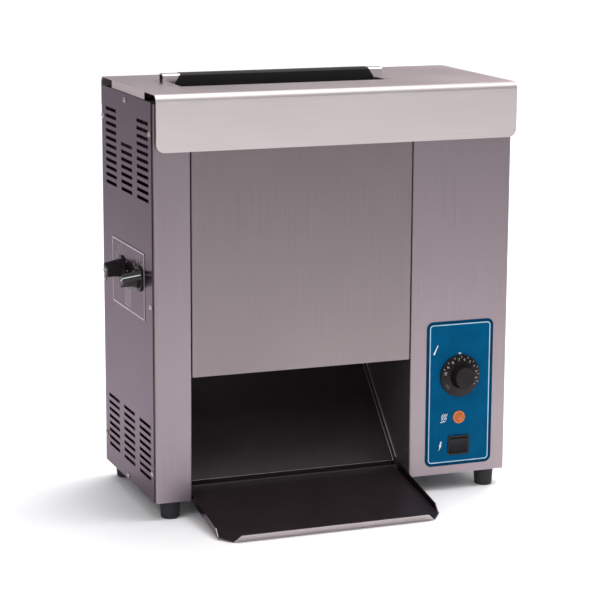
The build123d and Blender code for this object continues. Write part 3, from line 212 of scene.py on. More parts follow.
def plain_metal(name, hex_colour, roughness, mottle_mm):
    """Metal whose roughness and colour wander over a distance."""
    material, tree, shader = finish(name, metallic=1.0)
    light, dark = shades(hex_colour, MOTTLE_DARKNESS)
    cloud = noise(tree, [mottle_mm] * 3, 4.0)
    mixed = add(tree, "ShaderNodeMix", {"Factor": cloud, 6: dark, 7: light}, data_type="RGBA").outputs[2]
    tree.links.new(mixed, shader.inputs["Base Color"])
    span = {"Value": cloud, "To Min": roughness - MOTTLE_ROUGHNESS, "To Max": roughness + MOTTLE_ROUGHNESS}
    tree.links.new(add(tree, "ShaderNodeMapRange", span).outputs[0], shader.inputs["Roughness"])
    return material


zinc = plain_metal("zinc_coated_sheet", "#a3a5a6", 0.42, 9.0)
aluminium = plain_metal("cast_aluminium", "#b5b5b6", 0.45, 2.5)
turned_steel = plain_metal("turned_steel", "#96969a", 0.3, 1.2)
turned_aluminium = plain_metal("turned_aluminium", "#a9a9ab", 0.35, 1.5)
bronze = plain_metal("sintered_bronze", "#a07c4c", 0.45, 1.0)
screw_steel = plain_metal("bright_screw_steel", "#b4adaf", 0.24, 2.0)

# %% [markdown]
# ## Coatings, plastics and rubber
# The chute and tray are steel with a dark non-stick coat, which has a soft sheen and a very fine
# orange peel. Knobs are pressed phenolic, switch and lamp housings are moulded plastic with a light
# grain, feet are rubber, belts are silicone. All are dielectrics: colour, roughness, and a bump as
# high as the grain really is.

# %% Coated, moulded and rubber finishes
SHADE_CLOUD = 25.0
SHADE_DARKNESS = 0.82
SHEEN_CLOUD = 40.0
SHEEN_ROUGHNESS = 0.05
GRAIN_BUMP = 0.5


def grained(name, hex_colour, roughness, grain_mm, height_mm, **more):
    """Dielectric with a grain of a given size and height."""
    material, tree, shader = finish(name, **more)
    light, dark = shades(hex_colour, SHADE_DARKNESS)
    cloud = noise(tree, [SHADE_CLOUD] * 3, 3.0)
    mixed = add(tree, "ShaderNodeMix", {"Factor": cloud, 6: dark, 7: light}, data_type="RGBA").outputs[2]
    tree.links.new(mixed, shader.inputs["Base Color"])
    grain = noise(tree, [grain_mm] * 3, 3.0)
    relief = {"Height": grain, "Strength": GRAIN_BUMP, "Distance": height_mm * MM}
    tree.links.new(add(tree, "ShaderNodeBump", relief).outputs[0], shader.inputs["Normal"])
    sheen = noise(tree, [SHEEN_CLOUD] * 3, to=(roughness - SHEEN_ROUGHNESS, roughness + SHEEN_ROUGHNESS))
    tree.links.new(sheen, shader.inputs["Roughness"])
    return material


non_stick = grained("dark_non_stick_coat", "#30282c", 0.4, 1.6, 0.03)
release_cloth = grained("coated_release_cloth", "#191618", 0.5, 0.8, 0.05)
silicone = grained("dark_silicone_belt", "#211d1e", 0.6, 1.2, 0.05)
phenolic = grained("black_phenolic", "#1a1315", 0.36, 0.9, 0.015, specular_ior_level=0.24)
black_plastic = grained("black_moulded_plastic", "#1b181b", 0.42, 0.8, 0.02, specular_ior_level=0.3)
nylon = grained("natural_nylon", "#d8d4c8", 0.45, 1.5, 0.01)
rubber = grained("black_rubber", "#211e22", 0.7, 1.0, 0.03)
print("coatings, plastics and rubber:", non_stick.name, phenolic.name, rubber.name)

# %% [markdown]
# ## Screen print and the amber lens
# The control plate is sheet metal printed blue on its face, with a darker band outside its white
# border. Ink lies on the surface as a thin film with soft edges, so it gets the same fine grain. The
# lens is moulded polycarbonate: light glows through it, so it lets some light through and gives off
# a little of its own, more at the rim than in the facets behind.

# %% Inks and lens
INK_GRAIN = 0.5
INK_HEIGHT = 0.004
plate_blue = grained("screen_printed_blue", "#005a86", 0.4, 1.2, 0.006, specular_ior_level=0.03)
band_blue = grained("screen_printed_dark_blue", "#003f62", 0.4, 1.2, 0.006, specular_ior_level=0.03)
white_ink = grained("white_ink", "#eef4f7", 0.45, INK_GRAIN, INK_HEIGHT)
pale_ink = grained("pale_blue_ink", "#b5dcf0", 0.45, INK_GRAIN, INK_HEIGHT)
grey_ink = grained("light_grey_ink", "#d8d1d7", 0.45, INK_GRAIN, INK_HEIGHT)
dial_ink = grained("soft_white_ink", "#cdd0d3", 0.45, INK_GRAIN, INK_HEIGHT)
dim_ink = grained("worn_grey_ink", "#6f686d", 0.5, INK_GRAIN, INK_HEIGHT)
lens_rim = grained(
    "amber_lens_rim", "#e08544", 0.25, 2.0, 0.01, transmission_weight=0.2,
    emission_color=linear("#f08c4a"), emission_strength=0.2
)
lens_amber = grained(
    "amber_lens", "#cf6f38", 0.12, 2.0, 0.01, transmission_weight=0.3,
    emission_color=linear("#e87838"), emission_strength=0.22
)
print("inks:", white_ink.name, pale_ink.name, grey_ink.name, dim_ink.name, "and lens:", lens_amber.name)

# %% [markdown]
# ## A finish for every node
# The record names a material slot for each node, so one table from slot to finish dresses the whole
# part, inside and out. Pieces that get a finer shape later take their finish from the same table.

# %% Finish by slot
# The scale plate takes the stainless copy with painted shade, the cover the copy with painted light.
FINISHES = {
    "stainless": ground_upright, "cover_stainless": across_painted_light, "galvanised": zinc,
    "aluminium": aluminium, "steel": turned_steel, "bronze": bronze, "screws": screw_steel,
    "coated": non_stick, "release": release_cloth, "belt": silicone, "roller": turned_aluminium,
    "black_plastic": black_plastic, "knob_plastic": phenolic, "blue_plate": plate_blue,
    "scale_plate": sides_painted_shade, "lens": lens_amber, "nylon": nylon, "rubber": rubber,
}
# The side panels take the stainless copy with painted shade.
OWN_FINISH = {
    "left_side_panel": sides_painted_shade, "right_side_panel": sides_painted_shade, "feed_guide": polished,
}
SLOT_OF = {part["node"]: part["material_slot"] for part in frame["record"]["subparts"]}
for name, node in nodes.items():
    for slot in node.material_slots:
        slot.material = OWN_FINISH.get(name, FINISHES[SLOT_OF[name]])
print("dressed", len(nodes), "nodes in", len(FINISHES), "finishes")

# %% [markdown]
# ## Rounded edges
# Nothing that is folded, punched or moulded has a perfectly sharp edge, and a thin bright line along
# an edge is what makes metal read as metal. The CAD meshes are sharp, so the visible pieces get a
# copy: its loose triangles are merged, flat areas are cleaned, and every sharp edge is bevelled by a
# few tenths of a millimetre. The copy then stands for the CAD node, which stays for collision. Unless
# a cell says otherwise, its lengths are in millimetres and its angles in degrees.

# %% A piece that rides on a body
CREASE = 32


def add_piece(name, shape, body, slot, replaced=(), surfaces=(), crease=CREASE):
    """Turn a bmesh into a smooth-shaded piece that rides on a body."""
    mesh = bpy.data.meshes.new(name)
    shape.to_mesh(mesh)
    shape.free()
    for surface in surfaces or [FINISHES[slot]]:
        mesh.materials.append(surface)
    mesh.shade_smooth()
    mesh.set_sharp_from_angle(angle=radians(crease))
    piece = bpy.data.objects.new(name, mesh)
    bpy.context.scene.collection.objects.link(piece)
    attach(piece, body)
    if replaced:
        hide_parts(*replaced)
    return piece


print("a crease turns by more than", CREASE, "degrees")

# %% Rounded copies
SAME_PLACE = 0.002
FLAT_WITHIN = 0.4
SHARP_BEYOND = 34
SHEET_EDGE = 0.35
SHEETS = ["top_cover", "front_cover", "left_side_panel", "right_side_panel", "rear_cover", "feed_guide",
          "base_pan"]


def merged_copy(node):
    """CAD node as a clean bmesh, without doubles or needless edges on flat faces."""
    shape = bmesh.new()
    shape.from_mesh(nodes[node].data)
    bmesh.ops.remove_doubles(shape, verts=shape.verts, dist=SAME_PLACE * MM)
    bmesh.ops.dissolve_limit(shape, angle_limit=radians(FLAT_WITHIN), verts=shape.verts, edges=shape.edges)
    return shape


def bevel_sharp(shape, width_mm, segments):
    """Round every sharp edge, and clear the slivers that this leaves."""
    edges = [e for e in shape.edges if e.is_manifold and e.calc_face_angle() > radians(SHARP_BEYOND)]
    bmesh.ops.bevel(
        shape, geom=edges, offset=width_mm * MM, offset_type="OFFSET", segments=segments, profile=0.5,
        affect="EDGES", clamp_overlap=True, material=-1
    )
    bmesh.ops.dissolve_degenerate(shape, edges=shape.edges, dist=SAME_PLACE * MM)


def round_node(node, width_mm, segments=2, surfaces=(), paint=None):
    """Rounded copy of a CAD node, in its place. Paint picks a surface for each face."""
    shape = merged_copy(node)
    bevel_sharp(shape, width_mm, segments)
    if paint:
        shape.normal_update()
        for face in shape.faces:
            face.material_index = paint(face)
    surfaces = surfaces or [OWN_FINISH.get(node, FINISHES[SLOT_OF[node]])]
    body = nodes[node]["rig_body"]
    piece = add_piece(f"rounded_{node}", shape, body, SLOT_OF[node], [node], surfaces)
    weighted = piece.modifiers.new("flat_faces_stay_flat", "WEIGHTED_NORMAL")
    weighted.keep_sharp = True
    return piece


for node in SHEETS:
    round_node(node, SHEET_EDGE)
print("rounded", len(SHEETS), "sheets by", SHEET_EDGE, "mm")

# %% [markdown]
# ## End frames with three finishes
# Each end frame is a folded sheet with a column at the front. The column is ground upright in the
# lighter copy with painted light, the outer side takes the same painted shade as the side panel over it,
# and the inner walls, beside the outlet and the belts, are left duller and rougher. The direction that
# a face looks in picks its finish.

# %% End frames
OUTER_SIDES = {"left_end_frame": -1, "right_end_frame": 1}
COLUMN, OUTER, INNER = 0, 1, 2
MOSTLY = 0.7


def frame_paint(side):
    """Painter for the end frame whose outer side looks along X by that sign."""
    def paint(face):
        outwards = face.normal.x * side
        # Faces that look out sideways take the side panels' painted shade.
        if outwards > MOSTLY:
            return OUTER
        return INNER if outwards < -MOSTLY else COLUMN
    return paint


for node, side in OUTER_SIDES.items():
    round_node(node, SHEET_EDGE, 2, [columns_painted_light, sides_painted_shade, ground_inside], frame_paint(side))
print("end frames:", columns_painted_light.name, sides_painted_shade.name, ground_inside.name)

# %% [markdown]
# ## Moulded pieces
# The knobs, the switch and the cord gland come out of a mould, where a sharp edge would tear or
# stick. Their edges are twice as round as those of the sheets and get one more segment.

# %% Moulded pieces
MOULDED_EDGE = 0.7
MOULDED_SEGMENTS = 3
MOULDED = ["thermostat_knob", "front_compression_knob", "rear_compression_knob", "cord_gland",
           "switch_body", "power_rocker"]
for node in MOULDED:
    round_node(node, MOULDED_EDGE, MOULDED_SEGMENTS)
print("rounded", len(MOULDED), "moulded pieces by", MOULDED_EDGE, "mm")

# %% [markdown]
# ## The tray and chute, coated on one side only
# Bun halves slide down the chute onto the tray's floor, so those sides carry the dark coat; the
# tray's front lip is bare stainless in a lighter copy with painted light, its side lips take the side
# panels' painted shade, and the cut edges of the chute's flanges are bare metal painted near white as
# a highlight. The direction, the place and the area of each face are enough to pick its finish, so
# nothing has to be selected by hand.

# %% Landing tray
UPWARD = 0.9
SIDEWAYS = 0.6
COATED_BEHIND = corner.y + 2 * MM
COATED, BARE, SIDE_SHADE = 0, 1, 2
# The front lip's lighter stainless is painted light.
bare_lip_painted_light = brushed("stainless_tray_lip_painted_light", "#bdb4b5", "X", 0.35, 0.96)


def tray_paint(face):
    """Coat on faces that look up or lie inside the cabinet, stainless elsewhere."""
    if face.normal.z > UPWARD or face.calc_center_median().y > COATED_BEHIND:
        return COATED
    # Faces that look sideways take the side panels' painted shade.
    return SIDE_SHADE if abs(face.normal.x) > SIDEWAYS else BARE


tray = round_node("landing_tray", SHEET_EDGE, 2, [non_stick, bare_lip_painted_light, sides_painted_shade], tray_paint)
coated_faces = sum(face.material_index == COATED for face in tray.data.polygons)
print("tray:", coated_faces, "of", len(tray.data.polygons), "faces coated")

# %% Chute
OUT_OF_OUTLET = Vector((0, -1, 1)).normalized()
CUT_EDGE_AREA = 600 * MM * MM
# The cut edges are bare, and their near-white colour is a painted highlight.
cut_edge_painted_highlight = brushed("stainless_cut_edge_painted_highlight", "#f2ebed", "X", 0.55, 0.96)


def chute_paint(face):
    """Near-white bare metal, a painted highlight, on the narrow cut edges that look out of the outlet, coat
    elsewhere.
    """
    looks_out = face.normal.dot(OUT_OF_OUTLET) > UPWARD
    return BARE if looks_out and face.calc_area() < CUT_EDGE_AREA else COATED


chute = round_node("chute", SHEET_EDGE, 2, [non_stick, cut_edge_painted_highlight], chute_paint)
print("chute:", sum(face.material_index == BARE for face in chute.data.polygons), "cut edge faces")

# %% [markdown]
# ## Drawing on a surface
# Everything printed is drawn flat first, in its own X and Y, then given the thickness of a film and
# stamped at its place, turned so that its back lies on the surface. One matrix does that: it takes
# the place, the direction that is up in the drawing, and the direction that the surface faces.

# %% Places and stamps
FRONT, LEFT, RIGHT, BACK = (0, -1, 0), (-1, 0, 0), (1, 0, 0), (0, 1, 0)
UP = (0, 0, 1)
FILM = 0.05


def facing(place, outward, up=UP):
    """Matrix that carries a flat drawing to a place in the cabinet."""
    outward, up = Vector(outward).normalized(), Vector(up).normalized()
    turned = Matrix((up.cross(outward), up, outward)).transposed()
    return Matrix.Translation(at(*place)) @ turned.to_4x4()


def film(shape, height_mm=FILM):
    """Give a flat drawing its thickness."""
    grown = bmesh.ops.extrude_face_region(shape, geom=shape.faces[:], use_keep_orig=True)
    raised = [g for g in grown["geom"] if isinstance(g, bmesh.types.BMVert)]
    bmesh.ops.translate(shape, verts=raised, vec=(0, 0, height_mm * MM))
    bmesh.ops.recalc_face_normals(shape, faces=shape.faces)
    return shape


def stamp(whole, part, matrix):
    """Add a shape to a larger one, at its place."""
    part.transform(matrix)
    mesh = bpy.data.meshes.new("stamp")
    part.to_mesh(mesh)
    part.free()
    whole.from_mesh(mesh)
    bpy.data.meshes.remove(mesh)


# %% [markdown]
# ## Cards, bars, figures and pen lines
# Four kinds of drawing are enough. A card is one grid face with its corners bevelled round; its
# outline is the same card with an inset whose middle is taken out. A bar is a small card. Figures
# come from a text object, and a pen line is a curve with a round bevel, pressed flat; both are made
# a mesh while they still sit at the origin.

# %% Kinds of drawing
CAPITAL_SHARE = 0.7


def card(width, height, radius):
    """Flat face with rounded corners."""
    shape = bmesh.new()
    size = Matrix.Diagonal((width * MM, height * MM, 1, 1))
    bmesh.ops.create_grid(shape, x_segments=1, y_segments=1, size=0.5, matrix=size)
    bmesh.ops.bevel(
        shape, geom=shape.verts[:], offset=radius * MM, offset_type="OFFSET", segments=8, profile=0.5,
        affect="VERTICES", material=-1
    )
    return shape


def outline(width, height, radius, line):
    """Rounded frame of a given line width."""
    shape = card(width, height, radius)
    middle_faces = shape.faces[:]
    bmesh.ops.inset_region(
        shape, faces=middle_faces, thickness=line * MM, use_boundary=True, use_even_offset=True
    )
    bmesh.ops.delete(shape, geom=middle_faces, context="FACES")
    return shape


def as_shape(data):
    """Text or curve as a bmesh."""
    holder = bpy.data.objects.new("holder", data)
    mesh = bpy.data.meshes.new_from_object(holder)
    shape = bmesh.new()
    shape.from_mesh(mesh)
    bmesh.ops.remove_doubles(shape, verts=shape.verts, dist=SAME_PLACE / 2 * MM)
    bpy.data.objects.remove(holder)
    bpy.data.meshes.remove(mesh)
    return shape


def figure(text, height):
    """Number or word as a flat drawing, centred on its own origin, its capitals of a given height."""
    letters = bpy.data.curves.new("figure", "FONT")
    letters.body = text
    letters.size = height * MM / CAPITAL_SHARE
    letters.align_x, letters.align_y = "CENTER", "CENTER"
    letters.resolution_u = 3
    return as_shape(letters)


def pen_line(points, widths):
    """Line through points, with a width at each, pressed flat."""
    path = bpy.data.curves.new("pen_line", "CURVE")
    path.dimensions = "3D"
    path.bevel_depth, path.bevel_resolution, path.use_fill_caps = 0.5 * MM, 1, True
    path.resolution_u = 4
    spline = path.splines.new("NURBS")
    spline.points.add(len(points) - 1)
    for knot, (x, y), width in zip(spline.points, points, widths):
        knot.co = (x * MM, y * MM, 0, 1)
        knot.radius = width
    spline.order_u = 3
    spline.use_endpoint_u = True
    shape = as_shape(path)
    shape.transform(Matrix.Diagonal((1, 1, 2 * FILM / max(widths), 1)))
    return shape


# %% [markdown]
# ## The control plate
# The plate carries a pale border with a darker band outside it, a pointer above the dial, and three
# symbols: a thermometer for the thermostat, heat waves over a bar for the heater lamp, and a flash
# for the mains switch. Such symbols are the same on any kitchen machine, so they need no words.

# %% Control plate print
PLATE_SIZE = (105.0, 215.0)
PLATE_CORNER = 10.0
PLATE_CENTRE = (460.0, -0.6, 120.0)
BORDER_INSET = 4.6
BORDER_LINE = 1.5
BAND_WIDTH = BORDER_INSET + 0.3

band = bmesh.new()
stamp(band, film(outline(*PLATE_SIZE, PLATE_CORNER, BAND_WIDTH)), facing(PLATE_CENTRE, FRONT))
add_piece("control_plate_band", band, "cabinet", "blue_plate", surfaces=[band_blue])
border = bmesh.new()
inner_size = [side - 2 * BORDER_INSET for side in PLATE_SIZE]
inner_corner = PLATE_CORNER - BORDER_INSET
stamp(border, film(outline(*inner_size, inner_corner, BORDER_LINE), 2 * FILM), facing(PLATE_CENTRE, FRONT))
add_piece("control_plate_border", border, "cabinet", "blue_plate", surfaces=[pale_ink])
print("border is", BORDER_LINE, "mm wide,", BORDER_INSET, "mm from the plate's edge")

# %% Control plate symbols
POINTER_PLACE = (460.0, -0.6, 178.6)
POINTER_RADIUS = 2.6
THERMOMETER_PLACE = (422.2, -0.6, 186.2)
THERMOMETER = ((-3.2, -6.8), (-1.0, -2.0), (3.2, 6.9))
HEAT_PLACE = (436.4, -0.6, 84.4)
HEAT_WAVE = ((-1.6, -3.6), (1.0, -2.0), (-1.4, 1.2), (0.6, 3.8), (1.8, 5.6))
WAVES_ASIDE = (-2.4, 0.7, 3.8)
HEAT_BAR = ((-5.4, -6.9), (-1.5, -5.6), (2.6, -5.6))
FLASH_PLACE = (431.2, -0.6, 42.0)
FLASH = ((0.2, 7), (2.9, 7), (1.1, 1.0), (2.5, 1.0), (-2.6, -7), (-0.7, -0.8), (-1.9, -0.8))

symbols = bmesh.new()
pointer = bmesh.new()
bmesh.ops.create_circle(pointer, cap_ends=True, segments=3, radius=POINTER_RADIUS * MM)
bmesh.ops.rotate(pointer, verts=pointer.verts, matrix=Matrix.Rotation(pi, 3, "Z"))
stamp(symbols, film(pointer), facing(POINTER_PLACE, FRONT))
stamp(symbols, pen_line(THERMOMETER, (2.8, 2.0, 0.9)), facing(THERMOMETER_PLACE, FRONT))
for aside in WAVES_ASIDE:
    wave = [(x + aside, y) for x, y in HEAT_WAVE]
    stamp(symbols, pen_line(wave, (1.0, 1.1, 1.1, 1.1, 0.9)), facing(HEAT_PLACE, FRONT))
stamp(symbols, pen_line(HEAT_BAR, (1.3, 1.3, 1.3)), facing(HEAT_PLACE, FRONT))
flash = bmesh.new()
flash.faces.new([flash.verts.new((x * MM, y * MM, 0)) for x, y in reversed(FLASH)])
stamp(symbols, film(flash), facing(FLASH_PLACE, FRONT))
add_piece("control_plate_symbols", symbols, "cabinet", "blue_plate", surfaces=[white_ink])
print("pointer and three symbols, the flash", FLASH[0][1] - FLASH[4][1], "mm tall")

# %% [markdown]
# ## The numbered dial
# The dial has a sloping skirt with the numbers 1 to 10 and OFF, and a tick half-way between each
# two. The numbers turn with the dial, so they ride on the dial's body. The slope of the skirt tilts
# each number, and its own radius is its upward direction. Angles run counterclockwise from the right.

# %% Dial numbers
DIAL_CENTRE = (460.0, 146.0)
SKIRT_OUTER = (30.2, -4.4)
SKIRT_INNER = (17.8, -8.2)
NUMBER_RADIUS = 24.6
NUMBER_HEIGHT = 3.9
NUMBERS = {"10": 168, "9": 145, "8": 122.5, "7": 98, "6": 78, "5": 56, "4": 34.5, "3": 13, "2": -9, "1": -31}
TICK_RADIUS = 28.3
TICK_SIZE = (0.8, 2.6)
TICK_CORNER = 0.2
OFF_TURN = 214
OFF_HEIGHT = 3.4
skirt_slope = (SKIRT_OUTER[1] - SKIRT_INNER[1]) / (SKIRT_OUTER[0] - SKIRT_INNER[0])


def on_skirt(turn, radius):
    """Matrix for a drawing on the dial's skirt, at a turn in degrees from the right."""
    depth = SKIRT_INNER[1] + (radius - SKIRT_INNER[0]) * skirt_slope
    along, above = cos(radians(turn)), sin(radians(turn))
    place = (DIAL_CENTRE[0] + radius * along, depth, DIAL_CENTRE[1] + radius * above)
    outward = (skirt_slope * along, -1, skirt_slope * above)
    return facing(place, outward, (along, skirt_slope, above))


numbers = bmesh.new()
for text, turn in NUMBERS.items():
    stamp(numbers, film(figure(text, NUMBER_HEIGHT)), on_skirt(turn, NUMBER_RADIUS))
turns = sorted(NUMBERS.values())
for low, high in zip(turns, turns[1:]):
    stamp(numbers, film(card(*TICK_SIZE, TICK_CORNER)), on_skirt((low + high) / 2, TICK_RADIUS))
add_piece("dial_numbers", numbers, "thermostat_dial", "knob_plastic", surfaces=[dial_ink])
off_mark = bmesh.new()
stamp(off_mark, film(figure("OFF", OFF_HEIGHT)), on_skirt(OFF_TURN, NUMBER_RADIUS))
add_piece("dial_off_mark", off_mark, "thermostat_dial", "knob_plastic", surfaces=[dim_ink])
print(len(NUMBERS), "numbers and", len(turns) - 1, "ticks on the dial")

# %% [markdown]
# ## The pilot lamp
# The lamp's lens is one moulding: a smooth rim with a faceted dome inside, which scatters the small
# lamp behind it. Both are profiles turned about an axis. The dome is turned in few steps and keeps
# its facets flat, so it needs no texture to glitter.

# %% Pilot lamp
LAMP = (460.0, -0.6, 84.0)
RIM_PROFILE = ((9.2, 0), (9.2, 1.6), (8.7, 2.2), (7.5, 2.2), (6.9, 1.6), (6.9, 0), (9.2, 0))
RIM_STEPS = 40
DOME_PROFILE = ((0, 0), (6.9, 0), (6.9, 1.2), (5.4, 3.2), (2.8, 4.5), (0, 5.0))
FACETS = 10
FACET_CREASE = 5


def turned(profile, steps):
    """Shape from a profile of radius and height in millimetres, turned about Z."""
    shape = bmesh.new()
    points = [shape.verts.new((radius * MM, 0, height * MM)) for radius, height in profile]
    edges = [shape.edges.new(pair) for pair in zip(points, points[1:])]
    bmesh.ops.spin(
        shape, geom=points + edges, cent=(0, 0, 0), axis=(0, 0, 1), angle=2 * pi, steps=steps, use_merge=True
    )
    bmesh.ops.remove_doubles(shape, verts=shape.verts, dist=SAME_PLACE / 2 * MM)
    bmesh.ops.recalc_face_normals(shape, faces=shape.faces)
    return shape


rim = bmesh.new()
stamp(rim, turned(RIM_PROFILE, RIM_STEPS), facing(LAMP, FRONT))
add_piece("pilot_lens_rim", rim, "cabinet", "lens", ["pilot_lens"], [lens_rim])
dome = bmesh.new()
stamp(dome, turned(DOME_PROFILE, FACETS), facing(LAMP, FRONT))
add_piece("pilot_lens_facets", dome, "cabinet", "lens", surfaces=[lens_amber], crease=FACET_CREASE)
print("lens is", 2 * RIM_PROFILE[0][0], "mm across")

# %% [markdown]
# ## Scales beside the two side knobs
# Each side knob sets how hard its belt presses. The scale plate behind them has a fine border, ticks
# round each knob with plain numbers, and rows of dashes for settings. The pointer line on each knob
# is white paint in a groove: along the crest of the bar and down its slope.

# %% Scale plate print
SCALE_FACE = -1.7
SCALE_CENTRE = (SCALE_FACE, 117.5, 298.75)
SCALE_BORDER = (155.0, 93.5)
SCALE_CORNER = 1.0
SCALE_LINE = 1.5
KNOB_HEIGHT = 307.5
KNOB_PLACES = {"front_compression_control": (62.0, -28), "rear_compression_control": (147.5, 192)}
TICK_TURNS = range(0, 211, 30)
TICK_SPAN = (42.0, 193.0)
TICK_RING = 25.0
SCALE_TICK = (0.9, 4.5)
SCALE_NUMBERS = {"1": 60, "2": 90, "3": 120, "4": 150}
SCALE_NUMBER_HEIGHT = 4.5
NUMBER_RING = 31.5
DASH_COLUMNS = (130.0, 119.0, 108.0)
DASH_ROWS = [282.0 - 3.8 * row for row in range(7)]
DASH = (7.0, 0.9)


def round_knob(y, turn, radius):
    """Place on the scale plate round a knob, and the direction to it, at a turn from the front."""
    back, above = -cos(radians(turn)), sin(radians(turn))
    return (SCALE_FACE, y + radius * back, KNOB_HEIGHT + radius * above), (0, back, above)


scale_print = bmesh.new()
stamp(scale_print, film(outline(*SCALE_BORDER, SCALE_CORNER, SCALE_LINE)), facing(SCALE_CENTRE, LEFT))
for y, _ in KNOB_PLACES.values():
    for turn in TICK_TURNS:
        place, away = round_knob(y, turn, TICK_RING)
        if TICK_SPAN[0] < place[1] < TICK_SPAN[1]:
            stamp(scale_print, film(card(*SCALE_TICK, TICK_CORNER)), facing(place, LEFT, away))
    for text, turn in SCALE_NUMBERS.items():
        place, _ = round_knob(y, turn, NUMBER_RING)
        stamp(scale_print, film(figure(text, SCALE_NUMBER_HEIGHT)), facing(place, LEFT))
for y in DASH_COLUMNS:
    for z in DASH_ROWS:
        stamp(scale_print, film(card(*DASH, TICK_CORNER)), facing((SCALE_FACE, y, z), LEFT))
add_piece("scale_plate_print", scale_print, "cabinet", "scale_plate", surfaces=[grey_ink])
print(len(DASH_COLUMNS) * len(DASH_ROWS), "dashes and", len(KNOB_PLACES), "scales")

# %% Pointer lines on the side knobs
CREST_X = -27.5
CREST_HALF = 6.0
SLOPE_FOOT = (-4.6, 17.6)
POINTER_LINE = 1.3
POINTER_CORNER = 0.3


def along_bar(towards, x, reach):
    """Point on a knob's bar, from its height off the panel and its reach from the axis."""
    return Vector((x, 0, 0)) + towards * reach


for body, (y, turn) in KNOB_PLACES.items():
    towards = Vector((0, -cos(radians(turn)), -sin(radians(turn))))
    hub = Vector((0, y, KNOB_HEIGHT))
    line = bmesh.new()
    crest = film(card(POINTER_LINE, 2 * CREST_HALF, POINTER_CORNER))
    stamp(line, crest, facing(hub + along_bar(towards, CREST_X, 0), LEFT, towards))
    top, foot = along_bar(towards, CREST_X, CREST_HALF), along_bar(towards, *SLOPE_FOOT)
    slope = foot - top
    outward = slope.cross(Vector(LEFT).cross(towards))
    if outward.dot(towards) < 0:
        outward.negate()
    bar = film(card(POINTER_LINE, slope.length, POINTER_CORNER))
    stamp(line, bar, facing(hub + (top + foot) / 2, outward, slope))
    add_piece(f"{body}_pointer", line, body, "knob_plastic", surfaces=[white_ink])
print("pointer lines", POINTER_LINE, "mm wide")

# %% [markdown]
# ## Screw heads
# Sixteen pan-head screws hold the side panels and eight hold the rear cover. One head is modelled
# with its cross recess: a small grid whose cross of five faces is pushed in, and whose rim is
# extruded outwards ring by ring to the round edge of the head and down the shank. The extrusion
# leaves the old faces over the recess, so they are deleted. Copies stand at each hole.

# %% Screw heads
SIDE_SCREWS = ((127, 549), (11, 515), (11, 277), (11, 41), (237, 515), (237, 277), (237, 43), (127, 7))
SIDE_FACES = ((-1.2, LEFT), (535.2, RIGHT))
REAR_SCREWS = ((43, 60), (43, 280), (43, 500), (392.5, 60), (392.5, 280), (392.5, 500))
COVER_SCREWS = ((120, 542), (414, 542))
REAR_FACE = 248.0
COVER_FACE = 249.2
HEAD_TOP = 1.8
RECESS_HALF = 1.9
RECESS_DEPTH = 1.2
RECESS_TAPER = 0.8
RECESS_CELLS = 5
RINGS = ((3.3, 1.65), (4.0, 1.0), (4.2, 0.45), (4.2, 0.0), (2.0, 0.0), (2.0, -8.0))


def pan_head():
    """Pan-head screw that points inwards, with its seat at its own origin."""
    shape = bmesh.new()
    top = Matrix.Translation((0, 0, HEAD_TOP * MM))
    bmesh.ops.create_grid(
        shape, x_segments=RECESS_CELLS, y_segments=RECESS_CELLS, size=RECESS_HALF * MM, matrix=top
    )
    cell = 2 * RECESS_HALF * MM / RECESS_CELLS
    rim_edges = [edge for edge in shape.edges if edge.is_boundary]
    cross = []
    for face in shape.faces:
        x, y = (abs(c) for c in face.calc_center_median().xy)
        if min(x, y) < cell / 2 and max(x, y) < 1.5 * cell:
            cross.append(face)
    pushed = bmesh.ops.extrude_face_region(shape, geom=cross)["geom"]
    deep = [g for g in pushed if isinstance(g, bmesh.types.BMVert)]
    bmesh.ops.translate(shape, verts=deep, vec=(0, 0, -RECESS_DEPTH * MM))
    bmesh.ops.scale(shape, verts=deep, vec=(RECESS_TAPER, RECESS_TAPER, 1))
    bmesh.ops.delete(shape, geom=cross, context="FACES_ONLY")
    for radius, height in RINGS:
        grown = bmesh.ops.extrude_edge_only(shape, edges=rim_edges)["geom"]
        rim_edges = [g for g in grown if isinstance(g, bmesh.types.BMEdge)]
        for point in (g for g in grown if isinstance(g, bmesh.types.BMVert)):
            aim = point.co.xy.normalized() * radius * MM
            point.co = (aim.x, aim.y, height * MM)
    bmesh.ops.holes_fill(shape, edges=rim_edges)
    bmesh.ops.recalc_face_normals(shape, faces=shape.faces)
    return shape


side_heads = bmesh.new()
for x, outward in SIDE_FACES:
    for y, z in SIDE_SCREWS:
        stamp(side_heads, pan_head(), facing((x, y, z), outward))
add_piece("side_panel_screw_heads", side_heads, "cabinet", "screws", ["side_panel_screws"])
rear_heads = bmesh.new()
for places, depth in ((REAR_SCREWS, REAR_FACE), (COVER_SCREWS, COVER_FACE)):
    for x, z in places:
        stamp(rear_heads, pan_head(), facing((x, depth, z), BACK))
add_piece("rear_cover_screw_heads", rear_heads, "cabinet", "screws", ["rear_cover_screws"])
print(len(SIDE_FACES) * len(SIDE_SCREWS) + len(REAR_SCREWS) + len(COVER_SCREWS), "screws")

# %% [markdown]
# ## Floor, light and camera
# The toaster stands on a plain white table in a studio. Stainless shows what it faces, so a dim room
# with few soft lights gives the front and the side their deep tone and leaves the cover bright, along
# with the painted shade and painted light in their base colours. The table needs far more light to go
# fully white, which would burn out the cover, so two strong lights reach only the table. The Standard
# view transform keeps the white white and the plate's blue full.

